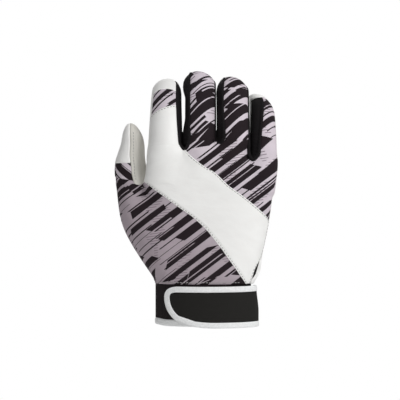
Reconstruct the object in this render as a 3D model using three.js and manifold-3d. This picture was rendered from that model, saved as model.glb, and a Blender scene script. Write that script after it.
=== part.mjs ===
// A right-hand batting glove, filled as a hand fills it, with its sewn panels as separate shells.
// Millimetres. +Z runs to the fingertips, -Y out of the back of the hand, +X to the little finger.
// The origin is the middle of the wrist opening, level with the lower edge of the closing strap.
import * as THREE from "three";
import { mergeVertices } from "three/addons/utils/BufferGeometryUtils.js";
import Module from "manifold-3d";

const wasm = await Module();
wasm.setup();

// Sewn pieces
const SEAM_GAP = 0.3;
const WALL = 1.5;

// Cuff and its hem
const CUFF_WIDTH = 78.5;
const CUFF_DEPTH = 44;
const CUFF_TOP = 35;
const CUFF_WALL = 2;
const HEM_BOTTOM = 2.6;
const HEM_HEIGHT = 4.8;
const HEM_PROUD = 0.5;

// Closing strap, measured along the cuff from the little-finger edge of the wrist
const STRAP_LENGTH = 79.7;
const STRAP_HEIGHT = 33;
const STRAP_WALL = 1.6;
const STRAP_SLANT_START = 48.5;
const STRAP_CORNER = 14;
const STRAP_END_LIFT = 6;
const STRAP_BINDING = 4.7;
const STRAP_BINDING_PROUD = 0.3;
const STRAP_HINGE = 3;
const STRAP_ROOT = 24;
const STRAP_ROOT_INSET = 2;
const PILE = 0.8;
const LOOP_PATCH_START = 26;
const HOOK_PATCH_LENGTH = 26;
const PATCH_INSET = 3;

// Palm
const PALM_TOP_DEPTH = 27;
const PALM_WRIST_SQUARENESS = 2.1;
const PALM_TOP_SQUARENESS = 4;
const THUMB_SIDE_BULGE = 1.5;
const LITTLE_SIDE_BULGE = 4;
const KNUCKLE_LEFT = -45.5;
const FINGER_SPACE = 0.5;
const SIDE_SEAM = 1;
const THUMB_SEAM_RISE = 14;
const THUMB_SEAM_REACH = 40;

// Slit at the little-finger edge of the wrist, with its elastic gusset behind it
const SLIT_WIDTH = 6;
const SLIT_LENGTH = 22;
const GUSSET_WALL = 1.2;
const GUSSET_HALF_ANGLE = 24;

// Leather band that runs from the index finger across the back of the hand to the wrist.
// Its lower edge bows past a straight line between its two ends.
const BAND_LOW_START = new THREE.Vector2(-47.2, 116);
const BAND_LOW_MIDDLE = new THREE.Vector2(-4.2, 84);
const BAND_LOW_END = new THREE.Vector2(34.8, 30);
const BAND_HIGH_END = new THREE.Vector2(67.8, 70);

// Fingers, little-finger side last. Length runs from the web to the fingertip along the finger.
// Measured the same way, hinge and knuckle are the bending lines, the leather cap of the tip starts at
// cap on the back and at sideCap on the sides, and the dome is the last part, which is drawn in.
// Skew moves the dome sideways, as a share of the half width. Angles are in degrees.
const BACK_HALF_ANGLE = 50;
const FINGER_ROOT = 14;
const FINGER_ROOT_SHARE = 0.78;
const FINGER_Y = -1;
const FINGERS = [
  {
    name: "index",
    web: 141.8,
    width: 27.4,
    depth: 23,
    tipShare: 0.86,
    length: 70,
    dome: 13,
    lean: 2,
    skew: 0,
    roll: -6,
    curlBase: 8,
    curlTip: 62,
    hinge: 7,
    knuckle: 29,
    cap: 45,
    sideCap: 58,
  },
  {
    name: "middle",
    web: 146.5,
    width: 26.8,
    depth: 23,
    tipShare: 1,
    length: 71,
    dome: 14,
    lean: 0,
    skew: -0.2,
    roll: 10,
    curlBase: 8,
    curlTip: 62,
    hinge: 7,
    knuckle: 33,
    cap: 65,
    sideCap: 65,
  },
  {
    name: "ring",
    web: 146.5,
    width: 26.4,
    depth: 22.5,
    tipShare: 1,
    length: 66,
    dome: 17,
    lean: 0,
    skew: -0.35,
    roll: 10,
    curlBase: 8,
    curlTip: 62,
    hinge: 7,
    knuckle: 31,
    cap: 60,
    sideCap: 60,
  },
  {
    name: "little",
    web: 133.1,
    width: 21.4,
    depth: 20.5,
    tipShare: 1,
    length: 66,
    dome: 26,
    lean: 0,
    skew: -0.75,
    roll: 45,
    curlBase: 8,
    curlTip: 64,
    hinge: 7,
    knuckle: 29,
    cap: 59,
    sideCap: 59,
  },
];

// Web pieces that close the crotch between two fingers
const WEB_HALF_WIDTH = 5;
const WEB_DROP = 5;

// Thumb, as level sections from inside the wrist to the tip: height, middle, half width, half depth
const THUMB_STATIONS = [
  { z: 38, x: -25.2, y: 1, halfWidth: 14, halfDepth: 17 },
  { z: 52, x: -31.2, y: 2, halfWidth: 18, halfDepth: 17.5 },
  { z: 80, x: -46.2, y: 5, halfWidth: 19, halfDepth: 16.5 },
  { z: 108, x: -55.2, y: 9, halfWidth: 15.2, halfDepth: 14 },
  { z: 130, x: -59.9, y: 13, halfWidth: 12.2, halfDepth: 11.5 },
  { z: 150, x: -57.5, y: 15, halfWidth: 8.8, halfDepth: 8.6 },
];
const THUMB_TIP = 163.6;
const THUMB_TIP_X = -59.4;
const THUMB_HINGE = 122.5;
const THUMB_PATCH_TOP = 131;
const THUMB_CAP = 157;
const THUMB_BACK_START = 180;
const THUMB_BACK_END = 292;

// Mesh fineness
const PALM_SIDES = 36;
const PALM_RINGS = 5;
const THUMB_SIDES = 20;
const THUMB_RINGS = 6;
const STUB_RINGS = 2;
const STUB_SIDES = 16;
const SECTOR_COLUMNS = 4;
const ROW_STEP = 7;
const CUFF_SIDES = 36;

// Colours of the photographed materials
const LEATHER = finish("#e4e5e2", 0.55);
const PRINTED_CLOTH = finish("#8d8089", 0.85);
const STRETCH_CLOTH = finish("#1b1a1c", 0.8);
const CUFF_CLOTH = finish("#2a2526", 0.8);
const STRAP_CLOTH = finish("#262523", 0.75);
const BINDING = finish("#e2e4e4", 0.6);
const PILE_CLOTH = finish("#151515", 0.95);

const DEGREE = Math.PI / 180;
const SIDE = new THREE.Vector3(1, 0, 0);
const FAR = 300;

function finish(color, roughness) {
  return new THREE.MeshStandardMaterial({ color, roughness, metalness: 0 });
}

// Even steps from one value to another, both ends included.
function steps(from, to, count) {
  return Array.from({ length: count + 1 }, (_, i) => from + ((to - from) * i) / count);
}

// Enough rows to keep each about ROW_STEP long.
function rowsBetween(from, to) {
  return steps(from, to, Math.max(1, Math.ceil((to - from) / ROW_STEP)));
}

// A closed geometry from positions and triangles, with its faces turned outwards.
function closedGeometry(points, triangles) {
  let volume = 0;
  for (const [a, b, c] of triangles) {
    volume += points[a].dot(new THREE.Vector3().crossVectors(points[b], points[c]));
  }
  const facing = volume < 0 ? triangles.map(([a, b, c]) => [a, c, b]) : triangles;
  const geometry = new THREE.BufferGeometry().setFromPoints(points);
  geometry.setIndex(facing.flat());
  return mergeVertices(geometry.toNonIndexed());
}

// A shell between two grids of points. Only kept cells are there, and walls close their edges.
// A wrapped grid closes on itself sideways, and a pole draws the last row into one point.
function shell(outer, inner, { wrap = false, pole = false, keep = () => true } = {}) {
  const rows = outer.length;
  const columns = outer[0].length;
  const across = wrap ? columns : columns - 1;
  const points = [...outer.flat(), ...inner.flat()];
  const under = rows * columns;
  const at = (r, c) => (pole && r === rows - 1 ? r * columns : r * columns + (c % columns));
  const kept = (r, c) => {
    const inGrid = r >= 0 && r < rows - 1 && (wrap || (c >= 0 && c < across));
    return inGrid && keep(r, (c + across) % across);
  };
  const triangles = [];
  const quad = (a, b, c, d) => {
    if (a !== b) triangles.push([a, b, c]);
    if (c !== d) triangles.push([a, c, d]);
  };
  const wall = (p, q) => quad(q, p, p + under, q + under);
  for (let r = 0; r < rows - 1; r += 1) {
    for (let c = 0; c < across; c += 1) {
      if (!kept(r, c)) continue;
      const corners = [at(r, c), at(r, c + 1), at(r + 1, c + 1), at(r + 1, c)];
      quad(...corners);
      quad(...corners.map((i) => i + under).reverse());
      if (!kept(r - 1, c)) wall(corners[0], corners[1]);
      if (!kept(r, c + 1)) wall(corners[1], corners[2]);
      if (!kept(r + 1, c) && corners[2] !== corners[3]) wall(corners[2], corners[3]);
      if (!kept(r, c - 1)) wall(corners[3], corners[0]);
    }
  }
  return closedGeometry(points, triangles);
}

// A solid skinned over closed rings of points, with flat ends.
function loft(rings) {
  const count = rings[0].length;
  const points = rings.flat();
  const triangles = [];
  rings.slice(1).forEach((_, r) => {
    for (let c = 0; c < count; c += 1) {
      const next = (c + 1) % count;
      const [a, b] = [r * count + c, r * count + next];
      triangles.push([a, b, b + count], [a, b + count, a + count]);
    }
  });
  for (const [start, turn] of [[0, 1], [(rings.length - 1) * count, 0]]) {
    const middle = points.length;
    const ring = points.slice(start, start + count);
    points.push(ring.reduce((sum, p) => sum.add(p), new THREE.Vector3()).divideScalar(count));
    for (let c = 0; c < count; c += 1) {
      const edge = [start + c, start + ((c + 1) % count)];
      triangles.push(turn ? [middle, edge[1], edge[0]] : [middle, ...edge]);
    }
  }
  return closedGeometry(points, triangles);
}

// Solids for cutting and joining
function solid(geometry) {
  const bare = new THREE.BufferGeometry().setAttribute("position", geometry.getAttribute("position"));
  if (geometry.index) bare.setIndex(geometry.index);
  const merged = mergeVertices(bare);
  return new wasm.Manifold(
    new wasm.Mesh({
      numProp: 3,
      vertProperties: new Float32Array(merged.getAttribute("position").array),
      triVerts: new Uint32Array(merged.index.array),
    }),
  );
}

// The largest body of a cut solid: slivers that the cuts leave beside it are dropped.
function geometryOf(cut) {
  const [largest] = cut.decompose().sort((a, b) => b.volume() - a.volume());
  const mesh = largest.getMesh();
  const geometry = new THREE.BufferGeometry();
  geometry.setAttribute("position", new THREE.BufferAttribute(mesh.vertProperties, 3));
  geometry.setIndex(new THREE.BufferAttribute(mesh.triVerts, 1));
  return geometry;
}

function join(solids) {
  return solids.reduce((sum, one) => sum.add(one));
}

// A prism that stands on an outline of X and Y, or runs through the hand behind one of X and Z.
function prismUp(outline) {
  const geometry = new THREE.ExtrudeGeometry(new THREE.Shape(outline), { depth: 2 * FAR, bevelEnabled: false });
  return solid(geometry.translate(0, 0, -FAR));
}

function prismThrough(outline) {
  const geometry = new THREE.ExtrudeGeometry(new THREE.Shape(outline), { depth: 2 * FAR, bevelEnabled: false });
  return solid(geometry.translate(0, 0, -FAR).rotateX(Math.PI / 2));
}

const plane = (x, z) => new THREE.Vector2(x, z);

// Fingers side by side: each takes its place from the widths of those before it.
let fingerLeft = KNUCKLE_LEFT;
for (const finger of FINGERS) {
  finger.x = fingerLeft + finger.width / 2;
  fingerLeft += finger.width + FINGER_SPACE;
}
const [INDEX, , , LITTLE] = FINGERS;
const KNUCKLE_RIGHT = LITTLE.x + LITTLE.width / 2;
const PALM_TOP = Math.max(...FINGERS.map((finger) => finger.web));

// Middle and directions of a finger at a distance from its web. Below the web it runs straight,
// and above it the finger is an arc that curls towards the palm.
function fingerFrame(finger, along) {
  const { curlBase, curlTip, length, lean, skew, width, web, roll } = finger;
  const bend = ((curlTip - curlBase) * DEGREE) / length;
  const start = curlBase * DEGREE;
  const angle = start + bend * Math.max(along, 0);
  const straight = Math.min(along, 0);
  const middle = new THREE.Vector3(
    finger.x + (lean * along) / length + skew * (width / 2) * (1 - domeShare(finger, along, 0)),
    FINGER_Y + straight * Math.sin(start) + (Math.cos(start) - Math.cos(angle)) / bend,
    web + straight * Math.cos(start) + (Math.sin(angle) - Math.sin(start)) / bend,
  );
  const back = new THREE.Vector3(0, -Math.cos(angle), Math.sin(angle));
  const turn = roll * DEGREE;
  return {
    middle,
    back,
    up: back.clone().multiplyScalar(Math.cos(turn)).addScaledVector(SIDE, Math.sin(turn)),
    right: SIDE.clone().multiplyScalar(Math.cos(turn)).addScaledVector(back, -Math.sin(turn)),
  };
}

// Share of its full section that a finger has in the dome at its tip, and 1 below the dome.
function domeShare(finger, along, inset) {
  const over = Math.max((along - finger.length + inset + finger.dome) / finger.dome, 0);
  return Math.sqrt(Math.max(1 - over * over, 0));
}

// Half width and half depth of a finger's section.
function fingerHalves(finger, along, inset) {
  const thinning = ((1 - FINGER_ROOT_SHARE) * Math.min(along, 0)) / FINGER_ROOT;
  const share = 1 + thinning - (1 - finger.tipShare) * Math.max(along / finger.length, 0);
  const dome = domeShare(finger, along, inset);
  return {
    width: ((finger.width / 2) * share - inset) * dome,
    depth: ((finger.depth / 2) * share - inset) * dome,
  };
}

// A point on a finger: angle 0 faces the little-finger side and 90 the back.
function fingerPoint(finger, along, angle, inset) {
  const frame = fingerFrame(finger, along);
  const half = fingerHalves(finger, along, inset);
  return frame.middle
    .addScaledVector(frame.right, half.width * Math.cos(angle * DEGREE))
    .addScaledVector(frame.up, half.depth * Math.sin(angle * DEGREE));
}

// Where a finger bends: on the palm-side leather, so that only the back has to stretch.
function fingerPivot(finger, along) {
  const frame = fingerFrame(finger, along);
  const half = fingerHalves(finger, along, 0);
  const turn = finger.roll * DEGREE;
  const reach = Math.hypot(half.width * Math.sin(turn), half.depth * Math.cos(turn));
  return frame.middle.addScaledVector(frame.back, -reach);
}

const SECTORS = {
  back: [90 - BACK_HALF_ANGLE, 90 + BACK_HALF_ANGLE],
  front: [270 - BACK_HALF_ANGLE, 270 + BACK_HALF_ANGLE],
  ulnar: [BACK_HALF_ANGLE - 90, 90 - BACK_HALF_ANGLE],
  radial: [90 + BACK_HALF_ANGLE, 270 - BACK_HALF_ANGLE],
};

// Half the seam gap as an angle on a finger.
function seamAngle(finger) {
  return SEAM_GAP / (finger.depth * finger.tipShare) / DEGREE;
}

// A strip of a finger between two of its seams and two distances from the web.
function fingerStrip(finger, sector, from, to) {
  const trim = seamAngle(finger);
  const [start, end] = SECTORS[sector];
  const angles = steps(start + trim, end - trim, SECTOR_COLUMNS);
  const rows = rowsBetween(from + SEAM_GAP / 2, to - SEAM_GAP / 2);
  const grid = (inset) => rows.map((along) => angles.map((angle) => fingerPoint(finger, along, angle, inset)));
  return shell(grid(0), grid(WALL));
}

// The palm-side strip of a fingertip, which wraps over the end of the finger as a cap.
function fingerTipStrip(finger, from) {
  const trim = seamAngle(finger);
  const turn = 360;
  const [frontStart, frontEnd] = [SECTORS.front[0] + trim, SECTORS.front[1] - trim];
  const [backStart, backEnd] = [SECTORS.back[0] + turn + trim, SECTORS.back[1] + turn - trim];
  const angles = [
    ...steps(frontStart, frontEnd, SECTOR_COLUMNS),
    ...steps(frontEnd, backStart, SECTOR_COLUMNS - 1).slice(1),
    ...steps(backStart, backEnd, SECTOR_COLUMNS).slice(1),
    ...steps(backEnd, frontStart + turn, SECTOR_COLUMNS - 1).slice(1, -1),
  ];
  const [cap, sideCap] = [finger.cap + SEAM_GAP / 2, finger.sideCap + SEAM_GAP / 2];
  const strip = rowsBetween(from + SEAM_GAP / 2, cap);
  const backCap = sideCap > cap ? rowsBetween(cap, sideCap).slice(1) : [];
  const backRow = strip.length - 1;
  const sideRow = backRow + backCap.length;
  const tip = (inset) => steps(sideCap, finger.length - inset, 4).slice(1);
  const grid = (inset) => {
    const rows = [...strip, ...backCap, ...tip(inset)];
    return rows.map((along) => angles.map((angle) => fingerPoint(finger, along, angle, inset)));
  };
  const isFront = (column) => column < SECTOR_COLUMNS;
  const isBack = (column) => angles[column] > backStart - trim && angles[column] < backEnd - trim;
  const keep = (row, column) => row >= sideRow || isFront(column) || (row >= backRow && isBack(column));
  return shell(grid(0), grid(WALL), { wrap: true, pole: true, keep });
}

// The short root of a finger, solid, from inside the palm to its bending line.
function fingerRoot(finger, inset, top) {
  const angles = steps(0, 360, STUB_SIDES).slice(1);
  const rows = steps(-FINGER_ROOT, top, STUB_RINGS);
  return solid(loft(rows.map((along) => angles.map((angle) => fingerPoint(finger, along, angle, inset)))));
}

// Thumb: smooth sections through the stations, drawn in to a dome above the last one.
const thumbCurve = (key) => {
  const points = THUMB_STATIONS.map((station) => plane(station.z, station[key]));
  return new THREE.SplineCurve(points);
};
const THUMB_CURVES = Object.fromEntries(["z", "x", "y", "halfWidth", "halfDepth"].map((key) => [key, thumbCurve(key)]));

// Share of the way along the stations at which the thumb reaches a height.
function thumbShare(z) {
  let [low, high] = [0, 1];
  for (let i = 0; i < 30; i += 1) {
    const middle = (low + high) / 2;
    if (THUMB_CURVES.z.getPoint(middle).x < z) low = middle;
    else high = middle;
  }
  return low;
}

function thumbPoint(z, angle, inset) {
  const last = THUMB_STATIONS[THUMB_STATIONS.length - 1];
  const share = thumbShare(Math.min(z, last.z));
  const at = (key) => THUMB_CURVES[key].getPoint(share).y;
  const over = Math.max((z - last.z) / (THUMB_TIP - inset - last.z), 0);
  const dome = Math.sqrt(Math.max(1 - over * over, 0));
  return new THREE.Vector3(
    at("x") + (THUMB_TIP_X - last.x) * over + (at("halfWidth") - inset) * dome * Math.cos(angle * DEGREE),
    at("y") + (at("halfDepth") - inset) * dome * Math.sin(angle * DEGREE),
    z,
  );
}

function thumbRoot(inset, top) {
  const angles = steps(0, 360, THUMB_SIDES).slice(1);
  const rows = steps(THUMB_STATIONS[0].z, top, THUMB_RINGS);
  return solid(loft(rows.map((z) => angles.map((angle) => thumbPoint(z, angle, inset)))));
}

// A strip of the thumb's back between two heights.
function thumbStrip(from, to) {
  const trim = SEAM_GAP / THUMB_STATIONS[4].halfWidth / DEGREE;
  const angles = steps(THUMB_BACK_START + trim, THUMB_BACK_END - trim, 2 * SECTOR_COLUMNS);
  const rows = rowsBetween(from + SEAM_GAP / 2, to - SEAM_GAP / 2);
  const grid = (inset) => rows.map((z) => angles.map((angle) => thumbPoint(z, angle, inset)));
  return shell(grid(0), grid(WALL));
}

// The palm side of the thumb, with the cap that wraps over its tip.
function thumbFront() {
  const trim = SEAM_GAP / THUMB_STATIONS[4].halfWidth / DEGREE;
  const strip = steps(THUMB_BACK_END + trim, THUMB_BACK_START + 360 - trim, 3 * SECTOR_COLUMNS);
  const rest = steps(THUMB_BACK_START + 360 - trim, THUMB_BACK_END + 360 + trim, 2 * SECTOR_COLUMNS).slice(1, -1);
  const angles = [...strip, ...rest];
  const rows = rowsBetween(THUMB_HINGE + SEAM_GAP / 2, THUMB_CAP + SEAM_GAP / 2);
  const capRow = rows.length - 1;
  const grid = (inset) => {
    const all = [...rows, ...steps(THUMB_CAP + SEAM_GAP / 2, THUMB_TIP - inset, 3).slice(1)];
    return all.map((z) => angles.map((angle) => thumbPoint(z, angle, inset)));
  };
  const keep = (row, column) => row >= capRow || column < 3 * SECTOR_COLUMNS;
  return shell(grid(0), grid(WALL), { wrap: true, pole: true, keep });
}

// Palm: superellipse sections that widen from the cuff to the knuckles and grow thinner.
function palmPoint(z, angle, inset) {
  const share = (z - CUFF_TOP) / (PALM_TOP - CUFF_TOP);
  const bow = 4 * share * (1 - share);
  const left = THREE.MathUtils.lerp(-CUFF_WIDTH / 2, KNUCKLE_LEFT, share) - THUMB_SIDE_BULGE * bow;
  const right = THREE.MathUtils.lerp(CUFF_WIDTH / 2, KNUCKLE_RIGHT, share) + LITTLE_SIDE_BULGE * bow;
  const halfDepth = THREE.MathUtils.lerp(CUFF_DEPTH, PALM_TOP_DEPTH, share) / 2;
  const squareness = THREE.MathUtils.lerp(PALM_WRIST_SQUARENESS, PALM_TOP_SQUARENESS, share);
  const round = (value) => Math.sign(value) * Math.abs(value) ** (2 / squareness);
  return new THREE.Vector3(
    (left + right) / 2 + ((right - left) / 2 - inset) * round(Math.cos(angle * DEGREE)),
    (halfDepth - inset) * round(Math.sin(angle * DEGREE)),
    z,
  );
}

// The line of the finger webs, seen from the back of the hand, lowered by the wall for the hollow.
function palmTopLine(drop) {
  return FINGERS.slice(1).map((finger, i) => {
    const web = Math.min(finger.web, FINGERS[i].web);
    return plane(finger.x - finger.width / 2 - FINGER_SPACE / 2, web - drop);
  });
}

function palmSolid(inset, bottom) {
  const angles = steps(0, 360, PALM_SIDES).slice(1);
  const rows = steps(bottom, PALM_TOP, PALM_RINGS);
  const body = solid(loft(rows.map((z) => angles.map((angle) => palmPoint(z, angle, inset)))));
  const line = palmTopLine(inset);
  const outline = [
    plane(-FAR, -FAR),
    plane(FAR, -FAR),
    plane(FAR, line[2].y),
    ...line.slice().reverse(),
    plane(-FAR, line[0].y),
  ];
  return body.intersect(prismThrough(outline));
}

// The whole hand below the bending lines, as one hollow shell that opens at the wrist.
const OVER = 1;
const handOutside = join([
  palmSolid(0, CUFF_TOP + SEAM_GAP),
  thumbRoot(0, THUMB_HINGE - SEAM_GAP / 2),
  ...FINGERS.map((finger) => fingerRoot(finger, 0, finger.hinge - SEAM_GAP / 2)),
]);
const handInside = join([
  palmSolid(WALL, CUFF_TOP - OVER),
  thumbRoot(WALL, THUMB_HINGE + OVER),
  ...FINGERS.map((finger) => fingerRoot(finger, WALL, finger.hinge + OVER)),
]);
const handShell = handOutside.subtract(handInside);

// The back half of the hand. Towards the thumb its seam moves round to the palm side.
function backHalf(grow) {
  const seam = SIDE_SEAM + grow;
  return prismUp([
    plane(-FAR, -FAR),
    plane(FAR, -FAR),
    plane(FAR, seam),
    plane(INDEX.x, seam),
    plane(INDEX.x - THUMB_SEAM_REACH, seam + THUMB_SEAM_RISE),
    plane(-FAR, seam + THUMB_SEAM_RISE),
  ]);
}

// Pieces that close the crotch between two fingers.
function webBlock(crotch, top, grow) {
  const half = WEB_HALF_WIDTH + grow;
  const low = crotch.y - WEB_DROP - grow;
  return prismThrough([
    plane(crotch.x - half, low),
    plane(crotch.x + half, low),
    plane(crotch.x + half, top),
    plane(crotch.x - half, top),
  ]);
}
const crotches = palmTopLine(0);
const webBlocks = (grow) => crotches.map((crotch) => webBlock(crotch, FAR, grow));

// The slit that lets the wrist open, cut through the seam on the little-finger edge.
const slitOutline = [
  plane(SIDE_SEAM - SLIT_WIDTH / 2, CUFF_TOP - OVER),
  plane(SIDE_SEAM + SLIT_WIDTH / 2, CUFF_TOP - OVER),
  plane(SIDE_SEAM, CUFF_TOP + SLIT_LENGTH),
];
const slit = solid(
  new THREE.ExtrudeGeometry(new THREE.Shape(slitOutline), { depth: FAR, bevelEnabled: false })
    .rotateX(Math.PI / 2)
    .rotateZ(Math.PI / 2),
);

// The band's outline, seen from the back, widened by the seam gap when its neighbours are cut.
function bandBlock(grow) {
  const low = new THREE.SplineCurve([BAND_LOW_START, BAND_LOW_MIDDLE, BAND_LOW_END]).getPoints(8);
  const crotch = crotches[0];
  return prismThrough([
    ...low.map((p) => plane(p.x - grow, p.y - grow)),
    plane(FAR, BAND_LOW_END.y - grow),
    plane(FAR, BAND_HIGH_END.y + grow),
    plane(BAND_HIGH_END.x + grow, BAND_HIGH_END.y + grow),
    plane(crotch.x + grow, crotch.y + grow),
    plane(crotch.x + grow, FAR),
    plane(BAND_LOW_START.x - grow, FAR),
  ]);
}

// Everything above and to the right of the band belongs to the knuckle panel.
const knuckleBlock = prismThrough([
  plane(crotches[0].x, crotches[0].y),
  plane(BAND_HIGH_END.x, BAND_HIGH_END.y),
  plane(FAR, BAND_HIGH_END.y),
  plane(FAR, FAR),
  plane(crotches[0].x, FAR),
]);

const webGaps = join(webBlocks(SEAM_GAP));
const backShell = handShell.intersect(backHalf(0)).subtract(webGaps).subtract(slit);
const backWithoutBand = backShell.subtract(bandBlock(SEAM_GAP));
const palmPanel = handShell.subtract(backHalf(SEAM_GAP)).subtract(webGaps).subtract(slit);
const bandPanel = backShell.intersect(bandBlock(0));
const knucklePanel = backWithoutBand.intersect(knuckleBlock);
const thumbSidePanel = backWithoutBand.subtract(knuckleBlock);

// Cuff: an oval tube, with places on it given by the distance along its outside.
function cuffPoint(z, angle, out) {
  return new THREE.Vector3(
    (CUFF_WIDTH / 2 + out) * Math.cos(angle),
    (CUFF_DEPTH / 2 + out) * Math.sin(angle),
    z,
  );
}

// Angle round the cuff at a distance from the little-finger edge, towards the back of the hand.
const cuffOval = new THREE.EllipseCurve(0, 0, CUFF_WIDTH / 2, CUFF_DEPTH / 2, 0, 2 * Math.PI, true);
cuffOval.arcLengthDivisions = 400;
function cuffAngle(distance) {
  const share = distance / cuffOval.getLength();
  return -2 * Math.PI * cuffOval.getUtoTmapping(THREE.MathUtils.euclideanModulo(share, 1));
}

function cuffTube(from, to, outside, inside) {
  const angles = steps(0, 2 * Math.PI, CUFF_SIDES).slice(1);
  const grid = (out) => [from, to].map((z) => angles.map((angle) => cuffPoint(z, angle, out)));
  return shell(grid(outside), grid(inside), { wrap: true });
}

// A sheet on the cuff from rows of points, each a distance along the cuff and a height.
function cuffSheet(rows, inside, outside) {
  const grid = (out) => rows.map((row) => row.map((p) => cuffPoint(p.y, cuffAngle(p.x), out)));
  return shell(grid(outside), grid(inside));
}

function cuffRectangle(from, to, low, high, inside, outside) {
  const along = rowsBetween(from, to);
  return cuffSheet([low, high].map((z) => along.map((x) => plane(x, z))), inside, outside);
}

// Layers on the cuff, each a seam gap above the one below it.
const LOOP_IN = SEAM_GAP;
const LOOP_OUT = LOOP_IN + PILE;
const HOOK_IN = LOOP_OUT + SEAM_GAP;
const HOOK_OUT = HOOK_IN + PILE;
const STRAP_IN = HOOK_OUT + SEAM_GAP;
const STRAP_OUT = STRAP_IN + STRAP_WALL;

// The strap's edge from the top of its root, round its free end, to the bottom of its root.
function strapEdge() {
  const edge = new THREE.Path();
  edge.moveTo(-STRAP_HINGE + SEAM_GAP / 2, STRAP_HEIGHT);
  edge.lineTo(STRAP_LENGTH - STRAP_CORNER, STRAP_HEIGHT);
  edge.quadraticCurveTo(STRAP_LENGTH, STRAP_HEIGHT, STRAP_LENGTH, STRAP_HEIGHT - STRAP_CORNER);
  const heel = STRAP_LENGTH - STRAP_CORNER / 2;
  edge.quadraticCurveTo(STRAP_LENGTH, STRAP_END_LIFT * 1.5, heel, STRAP_END_LIFT);
  edge.lineTo(STRAP_SLANT_START, 0);
  edge.lineTo(-STRAP_HINGE + SEAM_GAP / 2, 0);
  return edge;
}

// The edge as evenly spaced points, drawn in by a distance.
function strapOutline(inset) {
  const points = strapEdge().getSpacedPoints(36);
  const last = points.length - 1;
  return points.map((p, i) => {
    const ahead = points[Math.min(i + 1, last)];
    const behind = points[Math.max(i - 1, 0)];
    const along = ahead.clone().sub(behind).normalize();
    return plane(p.x + along.y * inset, p.y - along.x * inset);
  });
}

function strapBinding() {
  const rows = [strapOutline(0), strapOutline(STRAP_BINDING)];
  return cuffSheet(rows, STRAP_IN, STRAP_OUT + STRAP_BINDING_PROUD);
}

// The strap inside its binding: rows of points between the upper and the lower edge.
function strapTab() {
  const outline = strapOutline(STRAP_BINDING + SEAM_GAP);
  const last = outline.length - 1;
  const columns = outline.slice(0, last / 2 - 1);
  const rows = steps(0, 1, 3).map((share) => columns.map((top, i) => top.clone().lerp(outline[last - i], share)));
  return cuffSheet(rows, STRAP_IN, STRAP_OUT);
}

// The gusset behind the slit, on the inside of the hand.
function slitGusset() {
  const angles = steps(-GUSSET_HALF_ANGLE, GUSSET_HALF_ANGLE, SECTOR_COLUMNS);
  const rows = rowsBetween(CUFF_TOP + SEAM_GAP, CUFF_TOP + SLIT_LENGTH);
  const grid = (inset) => rows.map((z) => angles.map((angle) => palmPoint(z, angle, inset)));
  return shell(grid(WALL + SEAM_GAP), grid(WALL + SEAM_GAP + GUSSET_WALL));
}

// Assembly: a group for each body, standing at the point where it bends.
function body(parent, name, pivot) {
  const group = new THREE.Group();
  group.name = name;
  group.userData.pivot = pivot;
  group.position.copy(pivot).sub(parent.userData.pivot);
  parent.add(group);
  return group;
}

function piece(group, name, geometry, material) {
  const { x, y, z } = group.userData.pivot;
  const mesh = new THREE.Mesh(geometry.clone().translate(-x, -y, -z), material);
  mesh.name = name;
  group.add(mesh);
}

const glove = new THREE.Group();
glove.name = "hand";
glove.userData.pivot = new THREE.Vector3();

piece(glove, "palm_panel", geometryOf(palmPanel), LEATHER);
piece(glove, "diagonal_band", geometryOf(bandPanel), LEATHER);
piece(glove, "knuckle_panel", geometryOf(knucklePanel), PRINTED_CLOTH);
piece(glove, "thumb_side_panel", geometryOf(thumbSidePanel), PRINTED_CLOTH);
webBlocks(0).forEach((block, i) => {
  const name = `web_${FINGERS[i].name}_${FINGERS[i + 1].name}`;
  piece(glove, name, geometryOf(handShell.intersect(block)), STRETCH_CLOTH);
});
piece(glove, "slit_gusset", slitGusset(), STRETCH_CLOTH);
const hemTop = HEM_BOTTOM + HEM_HEIGHT;
piece(glove, "cuff_band", cuffTube(hemTop + SEAM_GAP, CUFF_TOP, 0, -CUFF_WALL), CUFF_CLOTH);
piece(glove, "cuff_hem_binding", cuffTube(HEM_BOTTOM, hemTop, LOOP_IN, -CUFF_WALL - HEM_PROUD), BINDING);
const loopEnd = STRAP_LENGTH - STRAP_BINDING;
const patchLow = hemTop + PATCH_INSET;
const patchHigh = STRAP_HEIGHT - STRAP_BINDING;
piece(
  glove,
  "loop_patch",
  cuffRectangle(LOOP_PATCH_START, loopEnd, patchLow, patchHigh, LOOP_IN, LOOP_OUT),
  PILE_CLOTH,
);
piece(
  glove,
  "strap_root",
  cuffRectangle(
    -STRAP_HINGE - STRAP_ROOT,
    -STRAP_HINGE - SEAM_GAP / 2,
    hemTop + STRAP_ROOT_INSET,
    STRAP_HEIGHT - STRAP_ROOT_INSET,
    SEAM_GAP,
    STRAP_OUT,
  ),
  STRAP_CLOTH,
);

const strapAngle = cuffAngle(-STRAP_HINGE);
const strapPivot = cuffPoint(STRAP_HEIGHT / 2, strapAngle, STRAP_OUT + STRAP_BINDING_PROUD);
const strap = body(glove, "strap", strapPivot);
piece(strap, "strap_tab", strapTab(), STRAP_CLOTH);
piece(strap, "strap_binding", strapBinding(), BINDING);
const hookEnd = loopEnd - STRAP_BINDING;
piece(
  strap,
  "hook_patch",
  cuffRectangle(hookEnd - HOOK_PATCH_LENGTH, hookEnd, patchLow, patchHigh, HOOK_IN, HOOK_OUT),
  PILE_CLOTH,
);

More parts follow.
